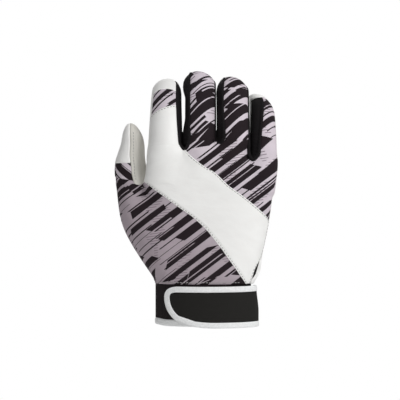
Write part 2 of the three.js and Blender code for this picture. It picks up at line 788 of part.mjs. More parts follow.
// Sides of a finger that face another finger are stretch cloth, and the outermost two are leather.
for (const finger of FINGERS) {
  const { name, hinge, knuckle, cap, sideCap } = finger;
  const lower = body(glove, `${name}_lower`, fingerPivot(finger, hinge));
  const upper = body(lower, `${name}_upper`, fingerPivot(finger, knuckle));
  const leatherBack = finger === INDEX;
  piece(lower, `${name}_back_lower`, fingerStrip(finger, "back", hinge, knuckle), leatherBack ? LEATHER : PRINTED_CLOTH);
  piece(upper, `${name}_back_upper`, fingerStrip(finger, "back", knuckle, cap), PRINTED_CLOTH);
  piece(lower, `${name}_front_lower`, fingerStrip(finger, "front", hinge, knuckle), LEATHER);
  piece(upper, `${name}_front_upper`, fingerTipStrip(finger, knuckle), LEATHER);
  for (const side of ["radial", "ulnar"]) {
    const outermost = (finger === INDEX && side === "radial") || (finger === LITTLE && side === "ulnar");
    const kind = outermost ? "side" : `fourchette_${side}`;
    const material = outermost ? LEATHER : STRETCH_CLOTH;
    piece(lower, `${name}_${kind}_lower`, fingerStrip(finger, side, hinge, knuckle), material);
    piece(upper, `${name}_${kind}_upper`, fingerStrip(finger, side, knuckle, sideCap), material);
  }
}

const thumbShareAtHinge = thumbShare(THUMB_HINGE);
const thumbPivot = new THREE.Vector3(
  THUMB_CURVES.x.getPoint(thumbShareAtHinge).y,
  THUMB_CURVES.y.getPoint(thumbShareAtHinge).y + THUMB_CURVES.halfDepth.getPoint(thumbShareAtHinge).y,
  THUMB_HINGE,
);
const thumb = body(glove, "thumb", thumbPivot);
piece(thumb, "thumb_patch", thumbStrip(THUMB_HINGE, THUMB_PATCH_TOP), PRINTED_CLOTH);
piece(thumb, "thumb_back", thumbStrip(THUMB_PATCH_TOP, THUMB_CAP), LEATHER);
piece(thumb, "thumb_front", thumbFront(), LEATHER);

export default glove;
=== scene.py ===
"""Looks of a right-hand batting glove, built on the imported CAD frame.

The glove's skin is one smooth form: a palm of oval sections, a thumb, and four curled fingers that grow
out of it. Every panel is a sheet of points laid on that form and raised by its own thickness, with rounded
edges. Lengths are in millimetres and angles in degrees until a mesh is made. X runs to the little-finger
side, Y to the palm and Z from the cuff to the fingertips.
"""

from __future__ import annotations

import logging
from collections.abc import Callable
from dataclasses import dataclass, field
from enum import Enum
from functools import partial

import bmesh
import bpy
import numpy as np
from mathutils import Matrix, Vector


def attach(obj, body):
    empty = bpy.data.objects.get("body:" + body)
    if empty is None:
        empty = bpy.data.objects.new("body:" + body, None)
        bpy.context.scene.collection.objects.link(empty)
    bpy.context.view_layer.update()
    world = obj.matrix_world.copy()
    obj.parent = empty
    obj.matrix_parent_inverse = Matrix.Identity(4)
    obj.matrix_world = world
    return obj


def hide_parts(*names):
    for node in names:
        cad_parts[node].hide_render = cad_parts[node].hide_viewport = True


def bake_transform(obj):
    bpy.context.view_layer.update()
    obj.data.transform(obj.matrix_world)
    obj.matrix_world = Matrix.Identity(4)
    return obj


Array = np.ndarray
Curve = Callable[[Array], Array]
Span = tuple[float, float]
Row = tuple[float, ...]
Colour = tuple[int, int, int]

LOG = logging.getLogger("glove")

# Metres in a millimetre, UV units in a millimetre, and how close two points are welded
MM = 0.001
UV_UNIT = 0.01
WELD = 0.06

# Squareness of a plain ellipse, closer rows at an edge in edge widths, and a point inside the hand
ROUND = np.array(2.0)
EDGE_ROWS = np.array([0.08, 0.3, 0.62, 1.0, 1.3, 1.55, 1.8, 2.2])
HEART = np.array([0.0, 3.0, 90.0])

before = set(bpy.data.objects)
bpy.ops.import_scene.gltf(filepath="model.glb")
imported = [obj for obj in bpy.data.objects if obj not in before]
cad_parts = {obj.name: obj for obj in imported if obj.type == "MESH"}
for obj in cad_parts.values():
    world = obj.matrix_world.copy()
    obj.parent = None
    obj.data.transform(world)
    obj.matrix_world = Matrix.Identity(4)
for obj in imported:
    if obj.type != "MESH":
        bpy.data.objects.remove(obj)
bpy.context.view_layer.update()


class Look(Enum):
    """Finishes, named after the record's material slots where they are one of them."""

    LEATHER = "white_leather"
    # The thumb front's leather is the white leather painted greyer: a painted shade for the side of the thumb
    # that faces the hand
    SHADED = "thumb_leather"
    PRINT = "printed_mesh"
    KNIT = "stretch_knit"
    CUFF = "cuff_knit"
    STRAP = "strap_webbing"
    BINDING = "binding_tape"
    PILE = "hook_and_loop"
    THREAD = "thread"

    @property
    def slot(self) -> str:
        """The material slot that the finish belongs to."""
        return {"thumb_leather": "white_leather", "thread": "binding_tape"}.get(self.value, self.value)


class Side(Enum):
    """Strips round a finger: radial faces the thumb, and ulnar the little finger."""

    BACK = "back"
    RADIAL = "radial"
    FRONT = "front"
    ULNAR = "ulnar"


class Level(Enum):
    """The two pieces of a finger strip."""

    LOWER = "lower"
    UPPER = "upper"


class Bend(Enum):
    """The two places where a finger bends."""

    BASE = "base"
    MIDDLE = "middle"


# Small helpers on arrays


def linear(colour: Colour) -> tuple[float, float, float, float]:
    """Turns a screen colour into the linear one that a shader takes, by the sRGB standard's curve."""
    value = np.array(colour) / 255
    low = value / 12.92
    high = ((value + 0.055) / 1.055) ** 2.4
    return (*np.where(value <= 0.04045, low, high).tolist(), 1.0)


def smooth_step(value: Array, start: float, end: float) -> Array:
    """Rises smoothly from 0 at start to 1 at end."""
    share = np.clip((value - start) / (end - start), 0, 1)
    return share * share * (3 - 2 * share)


def window(value: Array, rise: Span, fall: Span) -> Array:
    """Rises from 0 to 1 over one span and falls back to 0 over another."""
    return smooth_step(value, *rise) * smooth_step(value, *fall[::-1])


def smooth_min(a: Array, b: Array, reach: Array | float) -> Array:
    """The smaller of two distances, with a fillet of the given reach where they are alike."""
    share = np.maximum(reach - np.abs(a - b), 0) / reach
    return np.minimum(a, b) - share * share * reach / 4


def through(z: Array, heights: Row | Array, values: Row | Array) -> Array:
    """A smooth curve through values at heights, with the slope at each taken from its neighbours.

    Args:
        z: where the curve is wanted. Beyond the first and last height it stays level.
        heights: rising heights.
        values: the value at each.

    Returns:
        The cubic curve's values, from the values and slopes at both ends of each span.
    """
    heights, values = np.array(heights, float), np.array(values, float)
    slopes = np.gradient(values, heights)
    z = np.clip(z, heights[0], heights[-1])
    i = np.clip(np.searchsorted(heights, z) - 1, 0, len(heights) - 2)
    span = heights[i + 1] - heights[i]
    t = (z - heights[i]) / span
    rise = values[i] * (1 + 2 * t) * (1 - t) ** 2 + values[i + 1] * t * t * (3 - 2 * t)
    return rise + span * (slopes[i] * t * (1 - t) ** 2 + slopes[i + 1] * t * t * (t - 1))


def oval(angle: Array, a: Array | float, b: Array | float, power: Array) -> tuple[Array, Array]:
    """A point of a rounded rectangle: power 2 is an ellipse, and more is squarer."""
    c, s = np.cos(angle), np.sin(angle)
    return a * np.sign(c) * np.abs(c) ** (2 / power), b * np.sign(s) * np.abs(s) ** (2 / power)


def oval_distance(x: Array, y: Array, a: Array, b: Array, power: Array) -> Array:
    """Roughly how far a point is outside such a section, from its level and the level's slope."""
    tiny = 1e-6
    across, depth = np.abs(x) / a + tiny, np.abs(y) / b + tiny
    level = (across**power + depth**power) ** (1 / power)
    slope = level ** (1 - power) * np.hypot(across ** (power - 1) / a, depth ** (power - 1) / b)
    return (level - 1) / slope


def spaced(start: float, end: float, step: float, edge: float = 0.0) -> Array:
    """Even positions from start to end, with closer ones near both ends, where an edge is rounded."""
    even = np.linspace(start, end, max(2, int(np.ceil(abs(end - start) / step)) + 1))
    if not edge:
        return even
    close = np.sign(end - start) * edge * EDGE_ROWS
    rising = np.unique(np.concatenate([even, start + close, end - close]))
    return rising if end > start else rising[::-1]


def run_of(points: Array) -> Array:
    """Distance travelled to each point of a path."""
    return np.r_[0, np.cumsum(np.linalg.norm(np.diff(points, axis=0), axis=1))]


def along_line(points: Array, places: Array) -> Array:
    """Points on a polyline at distances from its start."""
    run = run_of(points)
    return np.stack([np.interp(places, run, points[:, k]) for k in range(points.shape[1])], -1)


def smooth_path(points: Array, count: int, fine: int = 400) -> Array:
    """A smooth curve through points, evenly divided."""
    run = run_of(points)
    dense = np.linspace(0, run[-1], fine)
    curve = np.stack([through(dense, run, points[:, k]) for k in range(points.shape[1])], -1)
    return along_line(curve, np.linspace(0, run_of(curve)[-1], count))


def lengths(points: Array, axis: int) -> Array:
    """Distance travelled along one axis of a grid of points."""
    step = np.linalg.norm(np.diff(points, axis=axis), axis=-1)
    pad = [(0, 0), (0, 0)]
    pad[axis] = (1, 0)
    return np.pad(np.cumsum(step, axis=axis), pad)


def unit(ways: Array) -> Array:
    """Ways made one long."""
    return ways / np.maximum(np.linalg.norm(ways, axis=-1, keepdims=True), 1e-9)


def ripple(points: Array, seed: int, scale: float, waves: int = 7, calm: float = 4.0) -> Array:
    """A calm wavy height between about -1 and 1: a sum of sines in fixed directions of the X-Z plane.

    Args:
        points: where the height is wanted.
        seed: sets the directions, paces and starts.
        scale: about a sixth of the length of a wave.
        waves: how many sines are added.
        calm: what the sum is divided by.

    Returns:
        The height at each point.
    """
    rng = np.random.default_rng(seed)
    total = np.zeros(points.shape[:-1])
    turns, paces, starts = (rng.uniform(*ends, waves) for ends in ((0, np.pi), (0.6, 1.8), (0, 6)))
    for turn, pace, start in zip(turns, paces, starts):
        place = points[..., 0] * np.cos(turn) + points[..., 2] * np.sin(turn)
        total += np.sin(place * pace / scale + start)
    return total / calm


# Forms


@dataclass(frozen=True)
class PalmForm:
    """The hand without its fingers: sections that widen from the cuff to the knuckles and grow thinner.

    The sides run straight from the cuff to the webs, plus a bow, and plus a flare on the thumb side that
    rises to the crotch of the thumb and dies away above it.
    """

    bottom: float = 35.0
    top: float = 146.5
    margin: float = 0.05
    cuff_width: float = 78.5
    cuff_depth: float = 44.0
    top_depth: float = 27.0
    left: float = -44.0
    right: float = 56.9
    thumb_bulge: float = 1.5
    little_bulge: float = 4.3
    crotch: float = 117.0
    crotch_flare: float = 4.0
    flare_start: float = 98.0
    flare_fade: float = 13.0
    wrist_power: float = 2.1
    top_power: float = 4.0
    web_fillet: float = 9.0
    web_x: Row = (-70, -17.85, 9.45, 36.35, 70)
    web_z: Row = (140, 141.8, 146.5, 133.1, 132)

    def section(self, z: Array) -> tuple[Array, Array, Array, Array]:
        """Works out the section at a height."""
        share = np.clip((z - self.bottom) / (self.top - self.bottom), -self.margin, 1 + self.margin)
        bow = 4 * share * (1 - share)
        fade = np.exp(-np.maximum(z - self.crotch, 0) / self.flare_fade)
        left = -self.cuff_width / 2 * (1 - share) + self.left * share - self.thumb_bulge * bow
        left = left - self.crotch_flare * smooth_step(z, self.flare_start, self.crotch) * fade
        right = self.cuff_width / 2 * (1 - share) + self.right * share + self.little_bulge * bow
        depth = self.cuff_depth / 2 * (1 - share) + self.top_depth / 2 * share
        power = self.wrist_power * (1 - share) + self.top_power * share
        return (left + right) / 2, (right - left) / 2, depth, power

    def distance(self, p: Array) -> Array:
        """Works out how far points are outside the palm, which ends at the line of the finger webs."""
        middle, a, b, power = self.section(p[..., 2])
        side = oval_distance(p[..., 0] - middle, p[..., 1], a, b, power)
        webs = np.interp(p[..., 0], self.web_x, self.web_z)
        return -smooth_min(-side, webs - p[..., 2], self.web_fillet)


@dataclass(frozen=True)
class ThumbForm:
    """The thumb as level ellipses from inside the wrist to its tip, drawn in to a dome above the last."""

    heights: Row = (38, 52, 80, 108, 130, 150)
    x: Row = (-25.2, -31.2, -46.2, -55.2, -60.2, -58.4, -60.3)
    y: Row = (1, 2, 5, 9, 13, 15, 15.6)
    half_width: Row = (14, 18, 19, 15.2, 12.0, 8.2)
    half_depth: Row = (17, 17.5, 16.5, 14, 11.5, 8.6)
    tip: float = 163.6
    taper: float = 0.27

    def section(self, z: Array) -> tuple[Array, Array, Array, Array]:
        """Works out the section at a height."""
        a, b = (through(z, self.heights, v) for v in (self.half_width, self.half_depth))
        x, y = (through(z, (*self.heights, self.tip), v) for v in (self.x, self.y))
        over = np.clip((z - self.heights[-1]) / (self.tip - self.heights[-1]), 0, 1)
        dome = np.sqrt(1 - over * over) * (1 - self.taper * over)
        return x, y, a * dome, b * dome

    def distance(self, p: Array) -> Array:
        """Works out how far points are outside the thumb, for the place where it grows out of the hand."""
        x, y, a, b = self.section(np.minimum(p[..., 2], self.heights[-1]))
        side = oval_distance(p[..., 0] - x, p[..., 1] - y, a, b, ROUND)
        return np.maximum(side, self.heights[0] - p[..., 2])


@dataclass(frozen=True)
class FingerForm:
    """A finger: an elliptic tube that is straight below the web and curls to the palm in an arc above it.

    Angle 0 round the finger faces the little-finger side, and 90 the back.

    Attributes:
        web: height of the web that it starts from.
        x: middle of the finger at the web.
        dome: length over which the tip is rounded.
        roll: turn of the section to the little-finger side.
        knuckle: distance of the middle bend from the web.
        radial: angles at the stations of the seam towards the thumb.
        ulnar: the same for the seam towards the little finger.
        tip_share: width that is left at the tip, as a share.
        lean: how far the tip leans to the little-finger side.
        skew: how far the dome is pushed to that side, in half widths.
        waist: how much narrower the middle is on the side to the thumb.
        curl_tip: slope of the tip.
        curl_base: slope at the web.
        hinge: distance of the base bend from the web.
        y: depth of the middle line at the web.
        root: length below the web, where the finger grows out of the palm.
        root_share: share of the width that is left at the root's end.
        stations: distances from the web at which the seams are given.
    """

    name: str
    web: float
    x: float
    width: float
    depth: float
    length: float
    dome: float
    roll: float
    knuckle: float
    radial: Row
    ulnar: Row
    tip_share: float = 1.0
    lean: float = 0.0
    skew: float = 0.0
    waist: float = 0.0
    waist_rise: Span = (6.0, 24.0)
    waist_fall: Span = (44.0, 60.0)
    curl_tip: float = 62.0
    curl_base: float = 8.0
    hinge: float = 7.0
    y: float = -1.0
    root: float = 14.0
    root_share: float = 0.78
    least_share: float = 0.3
    root_end: float = 24.0
    stations: Row = (0, 20, 45, 62)

    @property
    def split(self) -> float:
        """Where the lower and the upper piece of a strip meet, midway between the two bends."""
        return (self.hinge + self.knuckle) / 2

    def seam(self, side: Side, s: Array) -> Array:
        """Angle of a seam of the back strip at distances from the web."""
        return through(s, self.stations, self.radial if side is Side.RADIAL else self.ulnar)

    def drawn(self, s: Array) -> Array:
        """Share of the full section that is left in the dome."""
        over = np.clip((s - self.length + self.dome) / self.dome, 0, 1)
        return np.sqrt(1 - over * over)

    def axes(self, s: Array) -> tuple[Array, Array, Array, Array]:
        """Works out the middle line and its directions: a straight root, then an arc of even bend.

        Args:
            s: distances from the web, below 0 in the root.

        Returns:
            Points of the middle line, and the ways along it, to the right and to the back.
        """
        start = np.radians(self.curl_base)
        bend = np.radians(self.curl_tip - self.curl_base) / self.length
        angle = start + bend * np.maximum(s, 0)
        straight = np.minimum(s, 0)
        x = self.x + self.lean * s / self.length + self.skew * self.width / 2 * (1 - self.drawn(s))
        y = self.y + straight * np.sin(start) + (np.cos(start) - np.cos(angle)) / bend
        z = self.web + straight * np.cos(start) + (np.sin(angle) - np.sin(start)) / bend
        zero = np.zeros_like(angle)
        ahead = np.stack([zero, np.sin(angle), np.cos(angle)], -1)
        back = np.stack([zero, -np.cos(angle), np.sin(angle)], -1)
        side = np.stack([zero + 1, zero, zero], -1)
        turn = np.radians(self.roll)
        up = back * np.cos(turn) + side * np.sin(turn)
        right = side * np.cos(turn) - back * np.sin(turn)
        return np.stack([x, y, z], -1), ahead, right, up

    def halves(self, s: Array, radial: Array) -> tuple[Array, Array]:
        """Works out half width and half depth, with a narrower middle on the side to the thumb."""
        share = 1 + (1 - self.root_share) * np.minimum(s, 0) / self.root
        share = np.maximum(share, self.least_share) - (1 - self.tip_share) * np.maximum(s / self.length, 0)
        waist = self.waist * window(s, self.waist_rise, self.waist_fall) * radial
        return self.width / 2 * share * self.drawn(s) - waist, self.depth / 2 * share * self.drawn(s)

    def points(self, s: Array, angle: Array) -> Array:
        """Works out points of the tube."""
        middle, _, right, up = self.axes(s)
        turn = np.radians(angle)
        a, b = self.halves(s, np.cos(turn) < 0)
        return middle + right * (a * np.cos(turn))[..., None] + up * (b * np.sin(turn))[..., None]

    def station(self, p: Array, rounds: int = 2) -> Array:
        """Finds the section that a point lies in, going along the middle line until it is level with it."""
        s = p[..., 2] - self.web
        for _ in range(rounds):
            middle, ahead, _, _ = self.axes(s)
            s = s + np.sum((p - middle) * ahead, -1)
        return s

    def distance(self, p: Array) -> Array:
        """Works out how far points are outside the tube, for the part near its root."""
        s = self.station(p)
        below_dome = np.minimum(s, self.length - self.dome)
        middle, _, right, up = self.axes(below_dome)
        across, deep = np.sum((p - middle) * right, -1), np.sum((p - middle) * up, -1)
        a, b = self.halves(below_dome, across < 0)
        return np.maximum(oval_distance(across, deep, a, b, ROUND), -self.root_end - s)


INDEX = FingerForm(
    "index", web=141.8, x=-30.9, width=27.2, depth=23.0, length=70.0, dome=13.0, roll=-6.0,
    knuckle=29.0, radial=(168, 158, 150, 150), ulnar=(36, 44, 47, 46), tip_share=0.83, lean=0.4,
)
MIDDLE = FingerForm(
    "middle", web=146.5, x=-4.2, width=26.8, depth=23.0, length=71.0, dome=14.0, roll=10.0,
    knuckle=33.0, radial=(126, 136, 138, 128), ulnar=(28, 28, 28, 28), skew=-0.2, waist=2.0,
)
RING = FingerForm(
    "ring", web=146.5, x=23.0, width=26.2, depth=22.5, length=66.0, dome=17.0, roll=10.0, knuckle=31.0,
    radial=(124, 131, 131, 124), ulnar=(28, 28, 28, 28), skew=-0.35,
)
LITTLE = FingerForm(
    "little", web=133.1, x=47.7, width=22.2, depth=20.5, length=67.5, dome=27.0, roll=45.0,
    knuckle=29.0, radial=(152, 140, 126, 118), ulnar=(40, 40, 40, 40), tip_share=0.86, skew=-0.95,
)
FINGERS = (INDEX, MIDDLE, RING, LITTLE)


@dataclass
class Skin:
    """The smooth form of the whole glove, and points laid on it.

    A place on the girth is a distance round the palm, measured on one mean section. It is 0 at the
    little-finger edge, grows over the back to the thumb, and is below 0 over the palm.
    """

    palm: PalmForm = PalmForm()
    thumb: ThumbForm = ThumbForm()
    mean_half_width: float = 50.0
    mean_half_depth: float = 16.0
    core: float = 8.0
    knuckles: float = 104.0
    finger_fillet: float = 7.0
    finger_flow: float = 18.0
    thumb_fillet: float = 2.5
    thumb_fillet_more: float = 13.5
    thumb_flow: float = 136.0
    thumb_reach: float = 16.5
    girth: float = field(init=False)
    _turn: Array = field(init=False, repr=False)
    _angle: Array = field(init=False, repr=False)

    def __post_init__(self) -> None:
        """Measures the girth along the mean section."""
        self._angle = np.linspace(0, -2 * np.pi, 4001)
        x, y = oval(self._angle, self.mean_half_width, self.mean_half_depth, np.array(3.0))
        self._turn = run_of(np.stack([x, y], -1))
        self.girth = float(self._turn[-1])

    def angle_at(self, q: Array) -> Array:
        """Angle round the palm at a place on its girth, in radians."""
        whole = np.floor(q / self.girth)
        return np.interp(q - whole * self.girth, self._turn, self._angle) - 2 * np.pi * whole

    def place_of(self, x: Array | float, z: Array | float) -> Array:
        """Finds the place on the girth of a point of the back, seen from the front."""
        middle, a, _, power = self.palm.section(np.asarray(z, float))
        share = np.clip((x - middle) / a, -1, 1)
        angle = -np.arccos(np.sign(share) * np.abs(share) ** (power / 2))
        return np.interp(-angle, -self._angle, self._turn)

    def place_at(self, p: Array) -> Array:
        """Finds the place on the girth of a point of the hand."""
        middle, a, b, power = self.palm.section(p[..., 2])
        x, y = (p[..., 0] - middle) / a, p[..., 1] / b
        angle = np.arctan2(np.sign(y) * np.abs(y) ** (power / 2), np.sign(x) * np.abs(x) ** (power / 2))
        return np.interp(np.mod(-angle, 2 * np.pi), -self._angle, self._turn)

    def station(self, p: Array) -> Array:
        """Distance from the web along the finger that a point belongs to."""
        choice = np.searchsorted(self.palm.web_x[1:-1], p[..., 0])
        return np.choose(choice, [form.station(p) for form in FINGERS])

    def distance(
        self, p: Array, fingers: tuple[FingerForm, ...] = FINGERS, thumb_top: float = PalmForm.crotch
    ) -> Array:
        """Works out how far points are outside the glove, with fillets where fingers and thumb join the palm.

        Args:
            p: the points.
            fingers: the fingers that count.
            thumb_top: height above which the thumb is left out.

        Returns:
            The distance, below 0 inside.
        """
        z = p[..., 2]
        total = self.palm.distance(p)
        high = z > self.knuckles
        if fingers and high.any():
            near = np.min([finger.distance(p[high]) for finger in fingers], axis=0)
            total[high] = smooth_min(total[high], near, self.finger_fillet)
        reach = self.thumb_fillet + self.thumb_fillet_more * window(z, (34.0, 66.0), (90.0, 118.0))
        joined = smooth_min(total, self.thumb.distance(p), reach)
        return np.where(z < thumb_top, joined, total)

    def cast(
        self,
        start: Array,
        way: Array,
        limit: float = np.inf,
        rounds: int = 18,
        share: float = 0.85,
        stride: float = 8.0,
        **parts: tuple[FingerForm, ...] | float,
    ) -> Array:
        """Goes from points inside the form along their ways to its surface, or as far as a limit."""
        reach = np.zeros(start.shape[:-1])
        for _ in range(rounds):
            away = self.distance(start + way * reach[..., None], **parts)
            reach = np.clip(reach - share * np.clip(away, -stride, stride), 0, limit)
        return start + way * reach[..., None]

    def hand(self, q: Array, z: Array, **parts: tuple[FingerForm, ...] | float) -> Array:
        """Works out points of the hand, each found along the way out of a smaller section.

        Args:
            q: places on the girth.
            z: heights.
            parts: which fingers count, and up to what height the thumb does.

        Returns:
            The points.
        """
        angle = self.angle_at(q)
        middle, a, b, power = self.palm.section(z)
        level = 0 * z
        outer = np.stack([*oval(angle, a, b, power), level], -1)
        core = np.stack([*oval(angle, a - self.core, b - self.core, power), level], -1)
        way = unit(outer - core)
        return self.cast(core + np.stack([middle, level, z + 0 * q], -1), way, **parts)

    def seen_point(
        self, x: float, z: float, palm: bool = False, rounds: int = 8, share: float = 0.8
    ) -> Array:
        """Finds the point of the back, or of the palm, that is seen at an X and a height."""
        aim, height = np.array([x]), np.array([z])
        for _ in range(rounds):
            point = self.hand(self.place_of(aim, height) * (-1 if palm else 1), height)
            aim = aim + share * (x - point[:, 0])
        return point[0]

    def finger(self, form: FingerForm, s: Array, angle: Array) -> Array:
        """Works out points of a finger, which flows into the palm near its web."""
        points = form.points(s, angle)
        low = s < self.finger_flow
        if low.any():
            middle = form.axes(s[low])[0]
            points[low] = self.cast(middle, unit(points[low] - middle), fingers=(form,), thumb_top=-np.inf)
        return points

    def thumb_points(self, z: Array, angle: Array) -> Array:
        """Works out points of the thumb, which flows into the palm at its base."""
        x, y, a, b = self.thumb.section(z)
        turn = np.radians(angle)
        middle = np.stack([x, y, z], -1)
        points = middle + np.stack([a * np.cos(turn), b * np.sin(turn), 0 * z], -1)
        low = z < self.thumb_flow
        if low.any():
            way = unit(points[low] - middle[low])
            points[low] = self.cast(middle[low], way, self.thumb_reach, fingers=(), thumb_top=np.inf)
        return points


# Sheets and meshes


def quads(rows: int, columns: int, wrap: bool) -> Array:
    """Numbers the four corners of each cell of a grid of points."""
    r, c = np.meshgrid(np.arange(rows - 1), np.arange(columns if wrap else columns - 1), indexing="ij")
    after = (c + 1) % columns
    low, high = r * columns, (r + 1) * columns
    return np.stack([low + c, low + after, high + after, high + c], -1)


@dataclass
class Sheet:
    """A grid of points with a flat place for each."""

    points: Array
    inner: Array
    flat: Array | None = None
    keep: Array | None = None
    wrap: bool = False

    def __post_init__(self) -> None:
        """Takes the distances along the grid as flat places where none are given."""
        if self.flat is None:
            self.flat = np.stack([lengths(self.points, 1), lengths(self.points, 0)], -1)

    def normals(self) -> Array:
        """Works out the ways out of the sheet, square to its rows and columns."""
        p = self.points
        if self.wrap:
            p = np.concatenate([p[:, -1:], p, p[:, :1]], 1)
        normal = np.cross(np.gradient(p, axis=1), np.gradient(p, axis=0))
        normal = unit(normal[:, 1:-1] if self.wrap else normal)
        return normal if np.sum(normal * (self.points - self.inner)) > 0 else -normal

    def raised(self, lift: Array | float) -> Sheet:
        """The sheet moved out by a lift at each point."""
        points = self.points + self.normals() * np.broadcast_to(lift, self.points.shape[:2])[..., None]
        return Sheet(points, self.inner, self.flat, self.keep, self.wrap)

    def edge(self, left: bool = True, right: bool = True, low: bool = False, high: bool = False) -> Array:
        """Measures how far each point is from the nearest of the named edges."""
        across, down = lengths(self.points, 1), lengths(self.points, 0)
        ways = ((left, across), (right, across[:, -1:] - across), (low, down), (high, down[-1:] - down))
        return np.min([way for used, way in ways if used], axis=0)

    def cut(self, part: Array) -> Sheet:
        """The cells with all four corners in a part of the grid."""
        cells = part[1:, 1:] & part[:-1, :-1] & part[1:, :-1] & part[:-1, 1:]
        return Sheet(self.points, self.inner, self.flat, cells if self.keep is None else cells & self.keep)

    def rows(self, which: slice) -> Sheet:
        """Some rows of the sheet."""
        inner = self.inner[which] if np.ndim(self.inner) == 3 else self.inner
        return Sheet(self.points[which], inner, self.flat[which])

    def turned(self) -> Sheet:
        """The sheet with rows and columns swapped."""
        inner = self.inner.swapaxes(0, 1) if np.ndim(self.inner) == 3 else self.inner
        return Sheet(self.points.swapaxes(0, 1), inner, self.flat.swapaxes(0, 1))

    def inset(self, distance: float, right: bool = False) -> tuple[Array, Array]:
        """Finds the line at a distance from the first or last column, between two points of each row."""
        step = -1 if right else 1
        points, normals = self.points[:, ::step], self.normals()[:, ::step]
        across = lengths(points, 1)
        row = np.arange(len(points))
        i = np.clip(np.sum(across < distance, axis=1), 1, points.shape[1] - 1)
        share = ((distance - across[row, i - 1]) / (across[row, i] - across[row, i - 1]))[:, None]
        line = points[row, i - 1] * (1 - share) + points[row, i] * share
        return line, unit(normals[row, i - 1] * (1 - share) + normals[row, i] * share)

    def mesh(self, name: str) -> bpy.types.Object:
        """Makes the object, with the flat places as its UV map and its faces turned out."""
        faces = quads(*self.points.shape[:2], self.wrap)
        faces = (faces if self.keep is None else faces[self.keep]).reshape(-1, 4)
        points = self.points.reshape(-1, 3)
        corner = points[faces]
        out = np.cross(corner[:, 2] - corner[:, 0], corner[:, 3] - corner[:, 1])
        inner = np.broadcast_to(self.inner, self.points.shape).reshape(-1, 3)
        faces = faces if np.sum(out * (corner[:, 0] - inner[faces[:, 0]])) > 0 else faces[:, ::-1]
        used, index = np.unique(faces, return_inverse=True)
        return make_mesh(name, points[used], index.reshape(-1, 4), self.flat.reshape(-1, 2)[used])


def make_mesh(name: str, points: Array, faces: Array, flat: Array) -> bpy.types.Object:
    """Makes a smooth mesh object, with its poles and seams welded.

    Args:
        name: the object's name.
        points: its points.
        faces: quads, as numbers of points.
        flat: flat place of each point.

    Returns:
        The object, in the scene and at the origin.
    """
    mesh = bpy.data.meshes.new(name)
    mesh.vertices.add(len(points))
    mesh.vertices.foreach_set("co", (points * MM).astype(np.float32).ravel())
    mesh.loops.add(faces.size)
    mesh.loops.foreach_set("vertex_index", faces.astype(np.int32).ravel())
    mesh.polygons.add(len(faces))
    mesh.polygons.foreach_set("loop_start", np.arange(0, faces.size, 4, dtype=np.int32))
    mesh.polygons.foreach_set("use_smooth", np.ones(len(faces), bool))
    uv = mesh.uv_layers.new(name="flat")
    uv.data.foreach_set("uv", (flat[faces.ravel()] * UV_UNIT).astype(np.float32).ravel())
    mesh.update(calc_edges=True)
    mesh.validate()
    welded = bmesh.new()
    welded.from_mesh(mesh)
    bmesh.ops.remove_doubles(welded, verts=welded.verts, dist=WELD * MM)
    welded.to_mesh(mesh)
    welded.free()
    made = bpy.data.objects.new(name, mesh)
    bpy.context.scene.collection.objects.link(made)
    return made


@dataclass(frozen=True)
class Stitches:
    """A row of stitches along a line, each a short bit of thread that is rounded to both ends."""

    line: Array
    out: Array
    pitch: float = 2.6
    length: float = 1.9
    radius: float = 0.3
    end: float = 1.5
    rows: int = 7
    sides: int = 8

    def mesh(self, name: str) -> bpy.types.Object:
        """Makes all stitches of the row as one object.

        Args:
            name: the object's name.

        Returns:
            The object.
        """
        run = run_of(self.line)
        places = np.arange(self.pitch, run[-1] - self.pitch / 2, self.pitch)
        middle, out, ahead = (
            np.stack([np.interp(places, run, values[:, k]) for k in range(3)], -1)
            for values in (self.line, self.out, unit(np.gradient(self.line, axis=0)))
        )
        ways = (ahead, np.cross(ahead, out), out)
        round_it = np.linspace(0, 2 * np.pi, self.sides, endpoint=False)
        t, turn = np.meshgrid(np.linspace(-self.end, self.end, self.rows), round_it, indexing="ij")
        thick = np.cos(t) * self.radius
        shape = (np.sin(t) * self.length / 2, thick * np.cos(turn), thick * np.sin(turn))
        bits = (part[None, ..., None] * way[:, None, None] for part, way in zip(shape, ways))
        points = middle[:, None, None] + sum(bits)
        cell = quads(self.rows, self.sides, True).reshape(-1, 4)
        first = self.rows * self.sides * np.arange(len(places))
        faces = (cell[None] + first[:, None, None]).reshape(-1, 4)
        flat = np.stack([t, turn], -1).reshape(-1, 2) * self.radius
        return make_mesh(name, points.reshape(-1, 3), faces, np.tile(flat, (len(places), 1)))


@dataclass(frozen=True)
class Cord:
    """A round cord along a path, drawn in to a point at both ends."""

    path: Array
    radius: float
    sides: int = 12
    taper: float = 3.0
    aside: tuple[float, float, float] = (0.3, 1.0, 0.2)

    def mesh(self, name: str) -> bpy.types.Object:
        """Makes the cord as rings square to the path."""
        ahead = unit(np.gradient(self.path, axis=0))
        first = unit(np.cross(ahead, np.array(self.aside)))
        second = np.cross(ahead, first)
        turn = np.linspace(0, 2 * np.pi, self.sides, endpoint=False)[None, :, None]
        ring = np.cos(turn) * first[:, None] + np.sin(turn) * second[:, None]
        run = run_of(self.path)
        drawn = np.sqrt(np.clip(np.minimum(run, run[-1] - run) / self.taper, 0, 1))
        points = self.path[:, None] + ring * (self.radius * drawn)[:, None, None]
        return Sheet(points, self.path[:, None] + 0 * points, wrap=True).mesh(name)


def rounded(distance: Array, height: float, edge: float) -> Array:
    """Height of a sheet that rises in a quarter round from its edge."""
    share = np.clip(distance / edge, 0, 1)
    return height * np.sqrt(1 - (1 - share) ** 2)


def beaded(distance: Array, height: float, edge: float) -> Array:
    """Height of a sheet whose edge is rolled into a bead, a half round of twice the edge's width."""
    return height * np.sqrt(np.clip(1 - (distance / edge - 1) ** 2, 0, 1))


